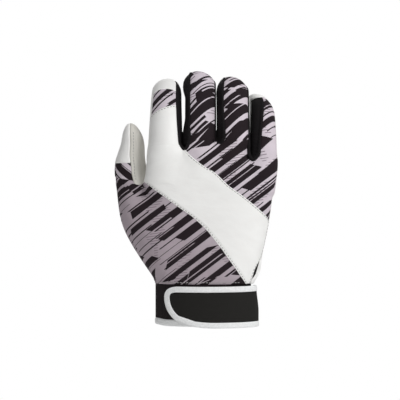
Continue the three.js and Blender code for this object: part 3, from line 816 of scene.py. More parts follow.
def sewn(distance: Array, inset: float = 2.0, depth: float = 0.3, width: float = 0.55) -> Array:
    """The furrow, a bell curve upside down, that a row of stitches pulls into a sheet beside its edge."""
    return -depth * np.exp(-(((distance - inset) / width) ** 2))


def no_tears(points: Array, limit: float) -> Array:
    """Finds the cells of a grid with no side longer than a limit."""
    down = np.linalg.norm(np.diff(points, axis=0), axis=-1) < limit
    right = np.linalg.norm(np.diff(points, axis=1), axis=-1) < limit
    return down[:, 1:] & down[:, :-1] & right[1:] & right[:-1]


# Materials


class Field:
    """A shader value. Arithmetic on it adds Math nodes to its material."""

    def __init__(self, paint: Paint, socket: bpy.types.NodeSocket) -> None:
        """Wraps a socket of a material."""
        self.paint = paint
        self.socket = socket

    def __add__(self, other: Field | float) -> Field:
        """Adds a value."""
        return self.paint.math("ADD", self, other)

    def __radd__(self, other: float) -> Field:
        """Adds to a number."""
        return self.paint.math("ADD", other, self)

    def __sub__(self, other: Field | float) -> Field:
        """Takes away a value."""
        return self.paint.math("SUBTRACT", self, other)

    def __rsub__(self, other: float) -> Field:
        """Takes away from a number."""
        return self.paint.math("SUBTRACT", other, self)

    def __mul__(self, other: Field | float) -> Field:
        """Multiplies by a value."""
        return self.paint.math("MULTIPLY", self, other)

    def __rmul__(self, other: float) -> Field:
        """Multiplies a number."""
        return self.paint.math("MULTIPLY", other, self)

    def __truediv__(self, other: Field | float) -> Field:
        """Divides by a value."""
        return self.paint.math("DIVIDE", self, other)

    def __lt__(self, other: Field | float) -> Field:
        """Gives 1 where it is less than a value, and 0 elsewhere."""
        return self.paint.math("LESS_THAN", self, other)


class Paint:
    """A material on one Principled shader, painted from the piece's flat places."""

    def __init__(self, name: str) -> None:
        """Starts a material with its plain shader."""
        self.material = bpy.data.materials.new(name)
        self.material.use_nodes = True
        self.tree = self.material.node_tree
        self.shader = self.tree.nodes["Principled BSDF"]

    def feed(self, socket: bpy.types.NodeSocket, value: Field | float | tuple[float, ...]) -> None:
        """Links a field to a socket, or sets a constant on it."""
        if isinstance(value, Field):
            self.tree.links.new(value.socket, socket)
        else:
            socket.default_value = value

    def math(self, operation: str, *values: Field | float) -> Field:
        """Adds a Math node."""
        node = self.tree.nodes.new("ShaderNodeMath")
        node.operation = operation
        for socket, value in zip(node.inputs, values):
            self.feed(socket, value)
        return Field(self, node.outputs[0])

    def node(
        self,
        kind: str,
        out: str | int,
        settings: dict[str, str] | None = None,
        **inputs: Field | float | tuple[float, ...],
    ) -> Field:
        """Adds any other node."""
        node = self.tree.nodes.new("ShaderNode" + kind)
        for key, value in (settings or {}).items():
            setattr(node, key, value)
        for key, value in inputs.items():
            self.feed(node.inputs[key.replace("_", " ")], value)
        return Field(self, node.outputs[out])

    def flat(self, turn: float = 0.0) -> tuple[Field, Field]:
        """Reads the piece's own flat place in millimetres."""
        uv = self.node("UVMap", "UV", {"uv_map": "flat"})
        split = self.tree.nodes.new("ShaderNodeSeparateXYZ")
        self.feed(split.inputs[0], uv)
        u, v = (Field(self, split.outputs[axis]) / UV_UNIT for axis in "XY")
        if not turn:
            return u, v
        c, s = float(np.cos(np.radians(turn))), float(np.sin(np.radians(turn)))
        return u * c + v * s, v * c - u * s

    def at(self, u: Field | float, v: Field | float) -> Field:
        """A place for a texture."""
        return self.node("CombineXYZ", "Vector", X=u, Y=v, Z=0.0)

    def noise(self, u: Field, v: Field, size: float, detail: float = 2.0) -> Field:
        """Soft noise from 0 to 1 with features of about a size in millimetres."""
        return self.node("TexNoise", "Fac", Vector=self.at(u, v), Scale=1 / size, Detail=detail)

    def ramp(self, value: Field, start: float, end: float) -> Field:
        """Goes from 0 at start to 1 at end and stays level outside."""
        share = (value - start) / (end - start)
        return self.math("MINIMUM", self.math("MAXIMUM", share, 0.0), 1.0)

    def chance(self, u: Field, v: Field | float) -> Field:
        """A fixed random number for each pair of values."""
        return self.node("TexWhiteNoise", "Value", {"noise_dimensions": "2D"}, Vector=self.at(u, v))

    def mix(self, share: Field, first: Field | tuple[float, ...], second: Field | tuple[float, ...]) -> Field:
        """Mixes two colours.

        Args:
            share: share of the second.
            first: a colour.
            second: another.

        Returns:
            The colour between them.
        """
        node = self.tree.nodes.new("ShaderNodeMix")
        node.data_type = "RGBA"
        self.feed(node.inputs["Factor"], share)
        colours = [socket for socket in node.inputs if socket.type == "RGBA"]
        self.feed(colours[0], first)
        self.feed(colours[1], second)
        return Field(self, next(socket for socket in node.outputs if socket.type == "RGBA"))

    def finish(
        self,
        colour: Field | tuple[float, ...],
        roughness: Field | float,
        height: Field,
        depth: float,
        strength: float = 1.0,
        shine: float = 0.5,
    ) -> bpy.types.Material:
        """Sets the shader."""
        self.shader.inputs["Specular IOR Level"].default_value = shine
        self.feed(self.shader.inputs["Base Color"], colour)
        self.feed(self.shader.inputs["Roughness"], roughness)
        bump = self.node("Bump", "Normal", Height=height, Distance=depth * MM, Strength=strength)
        self.feed(self.shader.inputs["Normal"], bump)
        return self.material


@dataclass(frozen=True)
class LeatherFinish:
    """White leather with a fine grain, soft creases and painted shade that greys their hollows."""

    name: str
    colour: Colour
    hollow_shade: Colour
    grain: float = 0.8
    pore_height: float = 0.35
    crease: float = 9.0
    crease_detail: float = 4.0
    roughness: float = 0.5
    rougher: float = 0.2
    depth: float = 0.4
    strength: float = 0.3

    def material(self) -> bpy.types.Material:
        """Builds the material: pores on creases, which also set its roughness and its tone, greyed in their
        hollows as painted shade.
        """
        paint = Paint(self.name)
        u, v = paint.flat()
        pores = paint.node("TexVoronoi", "Distance", Vector=paint.at(u, v), Scale=1 / self.grain)
        creases = paint.noise(u, v, self.crease, self.crease_detail)
        # Painted shade: the tone turns to the greyer colour where the creases sink
        tone = paint.mix(creases, linear(self.hollow_shade), linear(self.colour))
        roughness = self.roughness + self.rougher * creases
        return paint.finish(tone, roughness, pores * self.pore_height + creases, self.depth, self.strength)


@dataclass(frozen=True)
class Bars:
    """One layer of the print: straight bars with slanted ends along sloping lanes."""

    seed: float
    lane: float
    cell: float
    thick: Span
    fill: Span
    slant: Span = (-1.5, 3.5)
    shift: float = 3.0

    def mask(self, paint: Paint, slope: float, more: Field | float = 0.0) -> Field:
        """Draws the bars.

        Args:
            paint: the material.
            slope: angle of the lanes.
            more: added to both shares.

        Returns:
            1 inside a bar and 0 outside.
        """
        along, across = paint.flat(slope)
        lanes = (across + self.seed) / self.lane
        row, side = paint.math("FLOOR", lanes), paint.math("FRACT", lanes)
        lean = paint.chance(row, self.seed + 0.5) * (self.slant[1] - self.slant[0]) + self.slant[0]
        start = paint.chance(row, self.seed) * self.cell * self.shift
        run = (along + start + side * lean * self.lane) / self.cell
        place, share = paint.math("FLOOR", run), paint.math("FRACT", run)
        long = paint.chance(row, place + self.seed) * (self.fill[1] - self.fill[0]) + self.fill[0] + more
        wide = paint.chance(place, row + self.seed) * (self.thick[1] - self.thick[0]) + self.thick[0] + more
        return (share < long) * (side < wide)


@dataclass(frozen=True)
class PrintFinish:
    """Mesh cloth with a generic print: bars, thin lines and hatching, on a ground that is paler towards the
    upper right, with painted shade that darkens it towards the lower left.

    The ends of a zone are flat places at which it starts and is full. The ink of a zone is added to the
    shares that its bars fill.
    """

    pale: Colour = (210, 200, 208)
    painted_shade_ground: Colour = (170, 158, 165)
    middle: Colour = (112, 100, 109)
    dark: Colour = (30, 20, 25)
    slope: float = 37.0
    broad: Bars = Bars(3.1, 9.7, 66.0, (0.35, 0.9), (0.5, 0.95))
    narrow: Bars = Bars(7.7, 4.9, 71.0, (0.06, 0.3), (0.35, 0.9))
    gaps: Bars = Bars(1.9, 6.7, 83.0, (0.06, 0.16), (0.2, 0.9))
    hatched: Bars = Bars(5.3, 11.7, 37.0, (0.4, 0.9), (0.1, 0.5))
    ink: float = 0.06
    finger_ink: float = 0.2
    finger_lines: float = 0.1
    finger_root: Span = (143, 157)
    finger_end: Span = (205, 180)
    finger_left: Span = (-22, -18)
    finger_right: Span = (40, 34)
    little_share: float = 0.45
    little_left: Span = (42, 46)
    little_root: Span = (128, 134)
    index_ink: float = -0.24
    index_right: Span = (-17, -21)
    index_root: Span = (150, 158)
    thumb_ink: float = 0.22
    thumb_left: Span = (72, 76)
    knuckle_ink: float = -0.1
    knuckles: Span = (92, 108)
    hatch_turn: float = 62.0
    hatch_pitch: float = 1.9
    hatch_share: float = 0.3
    hatch_tone: float = 0.8
    # The ground goes from painted shade to pale between these heights, measured along the painted shade's
    # slope
    ground: Span = (40, 115)
    painted_shade_slope: Span = (0.6, 0.8)
    weave: float = 1.3
    weave_tone: float = 0.14
    worn: float = 0.2
    worn_size: float = 9.0
    worn_detail: float = 3.0
    worn_least: float = 0.88
    roughness: float = 0.85
    depth: float = 0.25
    strength: float = 0.6
    shine: float = 0.25

    def drawing(self, paint: Paint, u: Field, v: Field) -> Field:
        """Draws the dark bars, with more or less ink in each zone of the hand.

        Args:
            paint: the material.
            u: flat place across.
            v: flat place along.

        Returns:
            1 where the cloth is dark.
        """
        fingers = paint.ramp(v, *self.finger_root) * paint.ramp(v, *self.finger_end)
        fingers = fingers * paint.ramp(u, *self.finger_right) * paint.ramp(u, *self.finger_left)
        little = paint.ramp(u, *self.little_left) * paint.ramp(v, *self.little_root)
        fingers = fingers + little * self.little_share
        index = paint.ramp(u, *self.index_right) * paint.ramp(v, *self.index_root)
        thumb = paint.ramp(u, *self.thumb_left)
        more = fingers * self.finger_ink + thumb * self.thumb_ink + index * self.index_ink + self.ink
        more = more + self.knuckle_ink * paint.ramp(v, *self.knuckles)
        broad = self.broad.mask(paint, self.slope, more)
        narrow = self.narrow.mask(paint, self.slope, fingers * self.finger_lines)
        return paint.math("MAXIMUM", broad, narrow) * (1.0 - self.gaps.mask(paint, self.slope))

    def material(self) -> bpy.types.Material:
        """Builds the material: ground with painted shade, hatching, bars, and a weave of two crossed sines.

        Returns:
            The material.
        """
        paint = Paint("printed_mesh")
        u, v = paint.flat()
        ink = self.drawing(paint, u, v)
        across, _ = paint.flat(self.slope + self.hatch_turn)
        lines = paint.math("FRACT", across / self.hatch_pitch) < self.hatch_share
        hatch = lines * self.hatched.mask(paint, self.slope)
        # Painted shade: the ground darkens towards the lower left, away from the key light at the upper right
        height = u * self.painted_shade_slope[0] + v * self.painted_shade_slope[1]
        ground = paint.mix(paint.ramp(height, *self.ground), linear(self.painted_shade_ground), linear(self.pale))
        ground = paint.mix(hatch * self.hatch_tone, ground, linear(self.middle))
        wave = 2 * np.pi / self.weave
        knit = paint.math("SINE", (u + v) * wave) * paint.math("SINE", (u - v) * wave)
        worn = paint.noise(u, v, self.worn_size, self.worn_detail) * self.worn
        worn = worn + knit * self.weave_tone + self.worn_least
        shade = paint.mix(ink, ground, linear(self.dark))
        tone = paint.node("VectorMath", "Vector", {"operation": "SCALE"}, Vector=shade, Scale=worn)
        return paint.finish(tone, self.roughness, knit, self.depth, self.strength, self.shine)


@dataclass(frozen=True)
class ClothFinish:
    """Plain cloth with ribs: a knit, a strap cloth, a tape or a pile."""

    name: str
    colour: Colour
    rib: float
    turn: float
    roughness: float
    depth: float
    loop: float = 0.8
    fuzz: float = 1.5
    tones: Span = (0.72, 1.25)
    strength: float = 0.7
    shine: float = 0.2

    def material(self) -> bpy.types.Material:
        """Builds the material: sines for ribs and loops, with fuzz on them."""
        paint = Paint(self.name)
        u, v = paint.flat()
        along, across = paint.flat(self.turn)
        ribs = paint.math("SINE", along * (2 * np.pi / self.rib))
        loops = paint.math("SINE", across * (2 * np.pi / self.rib / self.loop))
        fuzz = paint.noise(u, v, self.rib * self.fuzz, 3.0)
        base = np.array(linear(self.colour))
        low, high = (tuple(base * [tone, tone, tone, 1]) for tone in self.tones)
        tone = paint.mix(fuzz * 0.7 + ribs * 0.12 + 0.1, low, high)
        height = ribs * 0.5 + ribs * loops * 0.3 + fuzz
        return paint.finish(tone, self.roughness, height, self.depth, self.strength, self.shine)


FINISHES = {
    Look.LEATHER: LeatherFinish("white_leather", colour=(236, 236, 234), hollow_shade=(226, 225, 223)),
    # The thumb front's grey is painted shade on the same white leather, for the side that faces the hand
    Look.SHADED: LeatherFinish("thumb_leather", colour=(208, 206, 199), hollow_shade=(194, 191, 183)),
    Look.PRINT: PrintFinish(),
    Look.KNIT: ClothFinish("stretch_knit", (20, 17, 19), rib=0.9, turn=90, roughness=0.9, depth=0.25),
    Look.CUFF: ClothFinish("cuff_knit", (32, 27, 28), rib=1.6, turn=0, roughness=0.9, depth=0.3),
    Look.STRAP: ClothFinish("strap_webbing", (27, 26, 24), rib=0.8, turn=45, roughness=0.8, depth=0.12),
    Look.BINDING: ClothFinish("binding_tape", (234, 235, 235), rib=0.9, turn=0, roughness=0.75, depth=0.2),
    Look.PILE: ClothFinish("hook_and_loop", (20, 20, 20), rib=1.1, turn=30, roughness=0.95, depth=0.6),
    # The thread's grey is partly its own tone and partly painted shade of the stitch holes
    Look.THREAD: ClothFinish("thread", (164, 164, 161), rib=0.3, turn=30, roughness=0.7, depth=0.1),
}


class Wardrobe:
    """All finishes, made once, and how a piece gets its finish."""

    def __init__(self) -> None:
        """Makes the materials."""
        self.materials = {look: finish.material() for look, finish in FINISHES.items()}
        self.count = 0

    def sew(
        self, shape: Sheet | Stitches | Cord, node: str, look: Look, part: str = "sewn"
    ) -> bpy.types.Object:
        """Makes a piece, with its material, in place of a CAD node.

        Args:
            shape: the finished shape.
            node: the CAD node that it stands for.
            look: its finish.
            part: ending of the piece's name.

        Returns:
            The piece, which has yet to be given a body.
        """
        piece = shape.mesh(f"{node}_{part}")
        piece.data.materials.append(self.materials[look])
        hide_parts(node)
        self.count += 1
        LOG.info("%s: %d faces", piece.name, len(piece.data.polygons))
        return piece


# Sub-assemblies


def constant(value: float) -> Curve:
    """A curve that has one value everywhere."""
    return lambda at: np.full(np.shape(at), float(value))


def table(places: Row, values: Row) -> Curve:
    """A curve that runs straight between values at places."""
    return lambda at: np.interp(at, places, values)


@dataclass
class Crotch:
    """One side of the black web between two fingers: a rolled U that joins their seams, and its valley."""

    skin: Skin
    wardrobe: Wardrobe
    left: FingerForm
    right: FingerForm
    low: tuple[Span, ...]
    palm: bool = False
    cord: float = 1.5
    legs: Row = (11.0, 8.5, 6.0, 4.0)
    tuck: float = 5.0
    palm_seams: Span = (-40.0, 220.0)
    palm_sink: float = 0.6
    dip_share: float = 0.9
    dip_most: float = 7.0
    trough_y: float = 12.5
    inside: Span = (4.0, -20.0)
    path: Array = field(init=False, repr=False)

    def __post_init__(self) -> None:
        """Lays the U down one finger's seam, round the bottom and up the seam of the other."""
        s = np.array(self.legs)
        if self.palm:
            first, last, tuck, sink = *self.palm_seams, -self.tuck, self.palm_sink
        else:
            first, last = self.left.seam(Side.ULNAR, s), self.right.seam(Side.RADIAL, s[::-1])
            tuck, sink = self.tuck, 0.0
        left = self.skin.finger(self.left, s, s * 0 + first - tuck)
        right = self.skin.finger(self.right, s[::-1], s * 0 + last + tuck)
        low = (self.skin.seen_point(x, z, self.palm) for x, z in self.low)
        self.path = smooth_path(np.array([*left, *low, *right]), 100) + np.array([0.0, sink, 0.0])

    def halves(self, count: int) -> tuple[Array, Array]:
        """Parts the U in its two legs."""
        bottom = int(np.argmin(self.path[:, 2]))
        legs = self.path[bottom::-1], self.path[bottom:]
        return tuple(along_line(leg, np.linspace(0, run_of(leg)[-1], count)) for leg in legs)

    def holds(self, p: Array) -> Array:
        """Whether points of the U's side of the hand lie inside it."""
        left, right = (np.interp(p[..., 2], leg[:, 2], leg[:, 0]) for leg in self.halves(60))
        return (p[..., 2] > self.path[:, 2].min()) & (p[..., 0] > left) & (p[..., 0] < right)

    def valley(self) -> Array:
        """Spans the legs with straight lines that dip into the hand in a parabola."""
        rows, columns = (30, 21)
        left, right = self.halves(rows)
        share = np.linspace(0, 1, columns)[None, :, None]
        wide = np.linalg.norm(right - left, axis=-1)[:, None, None]
        dip = np.minimum(self.dip_share * wide, self.dip_most) * 4 * share * (1 - share)
        way = np.array([0.0, -1.0 if self.palm else 1.0, 0.0])
        return left[:, None] * (1 - share) + right[:, None] * share + dip * way

    def trough(self, x: float, web: float) -> Array:
        """Shapes the trough behind the valley, whose sides rise and whose ends fall as parabolas."""
        rows, columns = (41, 15)
        u, v = np.meshgrid(np.linspace(-1, 1, columns), np.linspace(-0.8, 0.62, rows))
        middle, half = (-1.5, 3.4)
        height, rise, fall = (-1.2, 6.0, -2.0)
        z = web + height + rise * u * u + fall * v * v
        return np.stack([x + middle + half * u, self.trough_y * v, z], -1)

    def build(self) -> None:
        """Makes the valley, the trough behind it and the rolled edge."""
        x, web = self.path[np.argmin(self.path[:, 2]), 0], min(self.left.web, self.right.web)
        inner = np.array([x, self.inside[0], web + self.inside[1]])
        shapes = {"valley": Sheet(self.valley(), inner)}
        if not self.palm:
            shapes["trough"] = Sheet(self.trough(x, web), inner)
        shapes["cord"] = Cord(self.path, self.cord)
        for part, shape in shapes.items():
            name = f"palm_{part}" if self.palm else part
            node = f"web_{self.left.name}_{self.right.name}"
            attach(self.wardrobe.sew(shape, node, Look.KNIT, name), "hand")


@dataclass
class HandBack:
    """The back of the hand: printed cloth over the whole back, with the leather band sewn on top of it."""

    skin: Skin
    wardrobe: Wardrobe
    crotches: tuple[Crotch, ...]
    step: float = 0.9
    fine_step: float = 0.4
    fine_reach: float = 16.0
    reach: float = 26.0
    tear: float = 4.0
    cloth: float = 0.25
    leather: float = 0.9
    edge: float = 1.2
    bottom: float = 34.6
    top: float = 156.0
    finger_start: float = 2.2
    side: float = 2.4
    side_reach: float = 40.0
    seam_gap: float = 0.3
    slit_back: float = 6.4
    slit_wide: float = 6.9
    knuckle_left: float = -17.5
    thumb_side_top: float = 121.0
    unroll: float = 0.65
    hem_thread: float = 1.5
    hem_x: Span = (-38.0, 30.0)
    band_start: float = 142.0
    band_low: tuple[Span, ...] = (
        (-45.0, 132.0),
        (-46.4, 126.5),
        (-47.9, 121.5),
        (-48.4, 118.6),
        (-43.6, 112.9),
        (-25.7, 99.3),
        (-9.9, 88.3),
        (1.1, 78.1),
        (13.6, 62.4),
        (24.7, 46.6),
        (32.6, 34.6),
    )
    band_high: tuple[Span, ...] = ((-18.4, 156.0), (-19.2, 146.0), (-15.0, 141.0), (19.9, 112.6))
    band_turn: float = 84.0
    wave: float = 0.4
    band_thread: float = 2.0
    thread_tops: Span = (116.0, 139.0)
    cloth_done: Sheet = field(init=False, repr=False)

    def finger_seam(self, form: FingerForm, side: Side) -> float:
        """Finds where a finger's seam starts."""
        s = np.array([self.finger_start])
        place = float(self.skin.place_at(self.skin.finger(form, s, form.seam(side, s)))[0])
        return place - self.skin.girth if place > 0.75 * self.skin.girth else place

    def seam(self, z: Array) -> Array:
        """Finds the little-finger seam, with a slit above the cuff, which ends in that finger's own seam."""
        z = np.asarray(z, float)
        rise = self.finger_seam(LITTLE, Side.ULNAR) - self.side
        slit = self.slit_back * smooth_step(z, 60.0, 46.0)
        return self.side + slit + rise * smooth_step(z, 106.0, 135.0)

    def palm_seam(self, z: Array) -> Array:
        """Place on the girth of the palm leather's edge, on the other side of the slit."""
        slit = self.slit_wide * window(np.asarray(z, float), (37.2, 45.5), (52.5, 60.0))
        return self.seam(z) - self.seam_gap - slit

    def cloth_sheet(self) -> Sheet:
        """Lays printed cloth over the whole back, from the little-finger seam round to the thumb's palm side.

        Its flat place is the height, and the distance from the middle of the back as the cloth is unrolled.

        Returns:
            The cloth.
        """
        half = self.skin.girth / 2
        fine = half - self.fine_reach
        far = spaced(fine + self.fine_step, half + self.reach, self.fine_step)
        q = np.r_[spaced(0.0, fine, self.step), far]
        hem = self.bottom + np.array([0, 0.1, 0.3, 0.6])
        z = np.r_[hem, spaced(self.bottom + self.step, self.top, self.step)]
        grid_q, grid_z = np.meshgrid(q, z)
        start = self.seam(grid_z) * smooth_step(grid_q, self.side_reach, 0)
        points = self.skin.hand(grid_q + start, grid_z)
        x = points[..., 0]
        middle = int(np.argmin(np.abs(q - half / 2)))
        across = self.unroll * lengths(points, 1) + (1 - self.unroll) * lengths(points[..., :1], 1)
        unrolled = x[:, middle : middle + 1] + across[:, middle : middle + 1] - across
        near = smooth_step(grid_z, 104.0, 132.0) * smooth_step(x, -30.0, -16.0)
        flat = np.stack([unrolled + (x - unrolled) * near, grid_z], -1)
        sheet = Sheet(points, HEART, flat, no_tears(points, self.tear))
        return sheet.raised(self.cloth + rounded(grid_z - self.bottom, 0.25, 0.8))

    def build(self) -> None:
        """Makes the knuckle panel, the thumb-side panel, the band and their stitches."""
        self.cloth_done = cloth = self.cloth_sheet()
        x, z = cloth.points[..., 0], cloth.points[..., 2]
        high = z > np.interp(x, (-58, -31, 12, 47), (128, 122, 92, 62))
        webs = np.any([crotch.holds(cloth.points) for crotch in self.crotches], axis=0)
        below = self.skin.station(cloth.points) < self.finger_start
        knuckles = high & (x > self.knuckle_left) & ~webs & below
        low = ~high & (z < self.thumb_side_top)
        for node, part in (("knuckle_panel", knuckles), ("thumb_side_panel", low)):
            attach(self.wardrobe.sew(cloth.cut(part), node, Look.PRINT), "hand")
        line, out = cloth.turned().inset(self.hem_thread)
        hem = (line[:, 0] > self.hem_x[0]) & (line[:, 0] < self.hem_x[1]) & (line[:, 1] < 0)
        self.stitch(line[hem], out[hem], "thumb_side_panel", "hem_thread")
        self.band()

    def stitch(self, line: Array, out: Array, node: str, part: str) -> None:
        """Sews a row of stitches to the hand."""
        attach(self.wardrobe.sew(Stitches(line, out), node, Look.THREAD, part), "hand")

    def band_edges(self) -> tuple[Array, Array]:
        """Draws the band's two edges from the index finger to the wrist."""
        lines = (self.band_low, self.band_high)
        low, high = ([(float(self.skin.place_of(x, z)), z) for x, z in line] for line in lines)
        turn = np.linspace(self.band_turn, self.bottom, 14)
        start = self.finger_seam(INDEX, Side.RADIAL)
        low = [(start, self.top), (start, self.band_start), *low]
        return np.array(low), np.array([*high, *zip(self.seam(turn), turn)])

    def band(self) -> None:
        """Makes the leather from the index finger to the wrist, ruled between its edges, and its stitches."""
        rows = spaced(0, 1, 1 / 190, 0.006)
        columns = spaced(0, 1, 1 / 75, 0.021)
        left, right = (along_line(line, rows * run_of(line)[-1]) for line in self.band_edges())
        ruled = left[:, None] + (right - left)[:, None] * columns[None, :, None]
        sheet = Sheet(self.skin.hand(ruled[..., 0], ruled[..., 1]), HEART)
        d = sheet.edge(high=True)
        station = self.skin.station(sheet.points)
        calm = smooth_step(d, 1.0, 12.0) * smooth_step(station, 0.0, -12.0)
        waves = self.wave * calm * ripple(sheet.points, 5, 9.0)
        lift = rounded(d, self.leather, self.edge) + waves
        band = sheet.raised(lift + sewn(sheet.edge()) * smooth_step(station, -2.0, -6.0))
        shown = (station < self.finger_start) & ~self.crotches[0].holds(sheet.points)
        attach(self.wardrobe.sew(band.cut(shown), "diagonal_band", Look.LEATHER), "hand")
        for right_side, top in zip((False, True), self.thread_tops):
            line, out = band.inset(self.band_thread, right_side)
            used = line[:, 2] < top
            part = "right_thread" if right_side else "left_thread"
            self.stitch(line[used], out[used], "diagonal_band", part)


@dataclass(frozen=True)
class Crease:
    """A flex crease of the palm: a smooth line through points, and its depth."""

    x: Row
    z: Row
    depth: float
    width: float = 1.6
    fade: float = 14.0

    def dent(self, p: Array, z: Array) -> Array:
        """Works out the crease: a bell curve across the line, which fades to both of its ends."""
        away = (z - through(p[..., 0], self.x, self.z)) / self.width
        first, last = self.x[0], self.x[-1]
        inner = window(p[..., 0], (first, first + self.fade), (last - self.fade, last))
        return self.depth * np.exp(-(away**2)) * inner * (p[..., 1] > 0)


@dataclass
class PalmSide:
    """The palm leather, from the little-finger seam across the palm to the base of thumb and index finger."""

    skin: Skin
    wardrobe: Wardrobe
    back: HandBack
    crotches: tuple[Crotch, ...]
    step: float = 1.0
    fine_step: float = 0.4
    fine_from: float = 130.0
    fine_skip: int = 4
    top: float = 152.0
    over: float = 8.0
    crotch: float = PalmForm.crotch
    thumb_gap: float = 25.0
    far: float = 30.0
    tear: float = 5.0
    leather: float = 0.9
    edge: float = 1.2
    wave: float = 0.35
    flare: float = 2.0
    flare_width: float = 12.0
    tuck: Span = (-1.0, 2.0)
    tuck_share: float = 0.8
    finger_start: float = 3.0
    creases: tuple[Crease, ...] = (
        Crease((-34.0, -8.0, 24.0, 50.0), (117.0, 121.0, 117.0, 107.0), 0.55),
        Crease((-30.0, -6.0, 20.0, 44.0), (105.0, 103.0, 93.0, 77.0), 0.5),
        Crease((-24.0, -12.0, 4.0, 10.0), (108.0, 92.0, 66.0, 46.0), 0.5),
    )

    def lift(self, sheet: Sheet, q: Array, z: Array, inside: Array) -> Array:
        """Shapes the leather: rounded edges, a calm wave, the roll at the slit, and the creases.

        Args:
            sheet: the bare form.
            q: distance of each point from the little-finger seam.
            z: its height.
            inside: its distance from the leather's edge at the thumb.

        Returns:
            The height of the leather above the form.
        """
        d = np.minimum(sheet.edge(right=False, low=True), np.maximum(inside, 0))
        waves = ripple(sheet.points, 11, 7.0)
        lift = rounded(d, self.leather, self.edge) + self.wave * smooth_step(d, 1.0, 9.0) * waves
        roll = window(sheet.edge(right=False), (0, self.edge), (self.edge, self.flare_width))
        lift = lift + self.flare * np.exp(-(((z - 46.0) / 9.0) ** 2)) * roll
        for crease in self.creases:
            lift = lift - crease.dent(sheet.points, z)
        half = self.skin.girth / 2
        return lift * (1 - self.tuck_share * smooth_step(q, half + self.tuck[0], half + self.tuck[1]))

    def build(self) -> None:
        """Makes the palm panel."""
        half = self.skin.girth / 2
        low = spaced(self.back.bottom, self.fine_from, self.step, self.edge)[: -self.fine_skip]
        z = np.r_[low, spaced(self.fine_from, self.top, self.fine_step)]
        grid_q, grid_z = np.meshgrid(spaced(0, half + self.over, self.step, self.edge), z)
        start = self.back.palm_seam(grid_z) * smooth_step(grid_q, self.back.side_reach, 0)
        points = self.skin.hand(start - grid_q, grid_z)
        inside = np.where(grid_z < self.crotch, half - self.thumb_gap - grid_q, self.far)
        sheet = Sheet(points, HEART, keep=no_tears(points, self.tear))
        webs = np.any([crotch.holds(points) for crotch in self.crotches], axis=0) & (points[..., 1] > 0)
        shown = (self.skin.station(points) < self.finger_start) & (inside >= 0) & ~webs
        palm = sheet.raised(self.lift(sheet, grid_q, grid_z, inside)).cut(shown)
        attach(self.wardrobe.sew(palm, "palm_panel", Look.LEATHER), "hand")


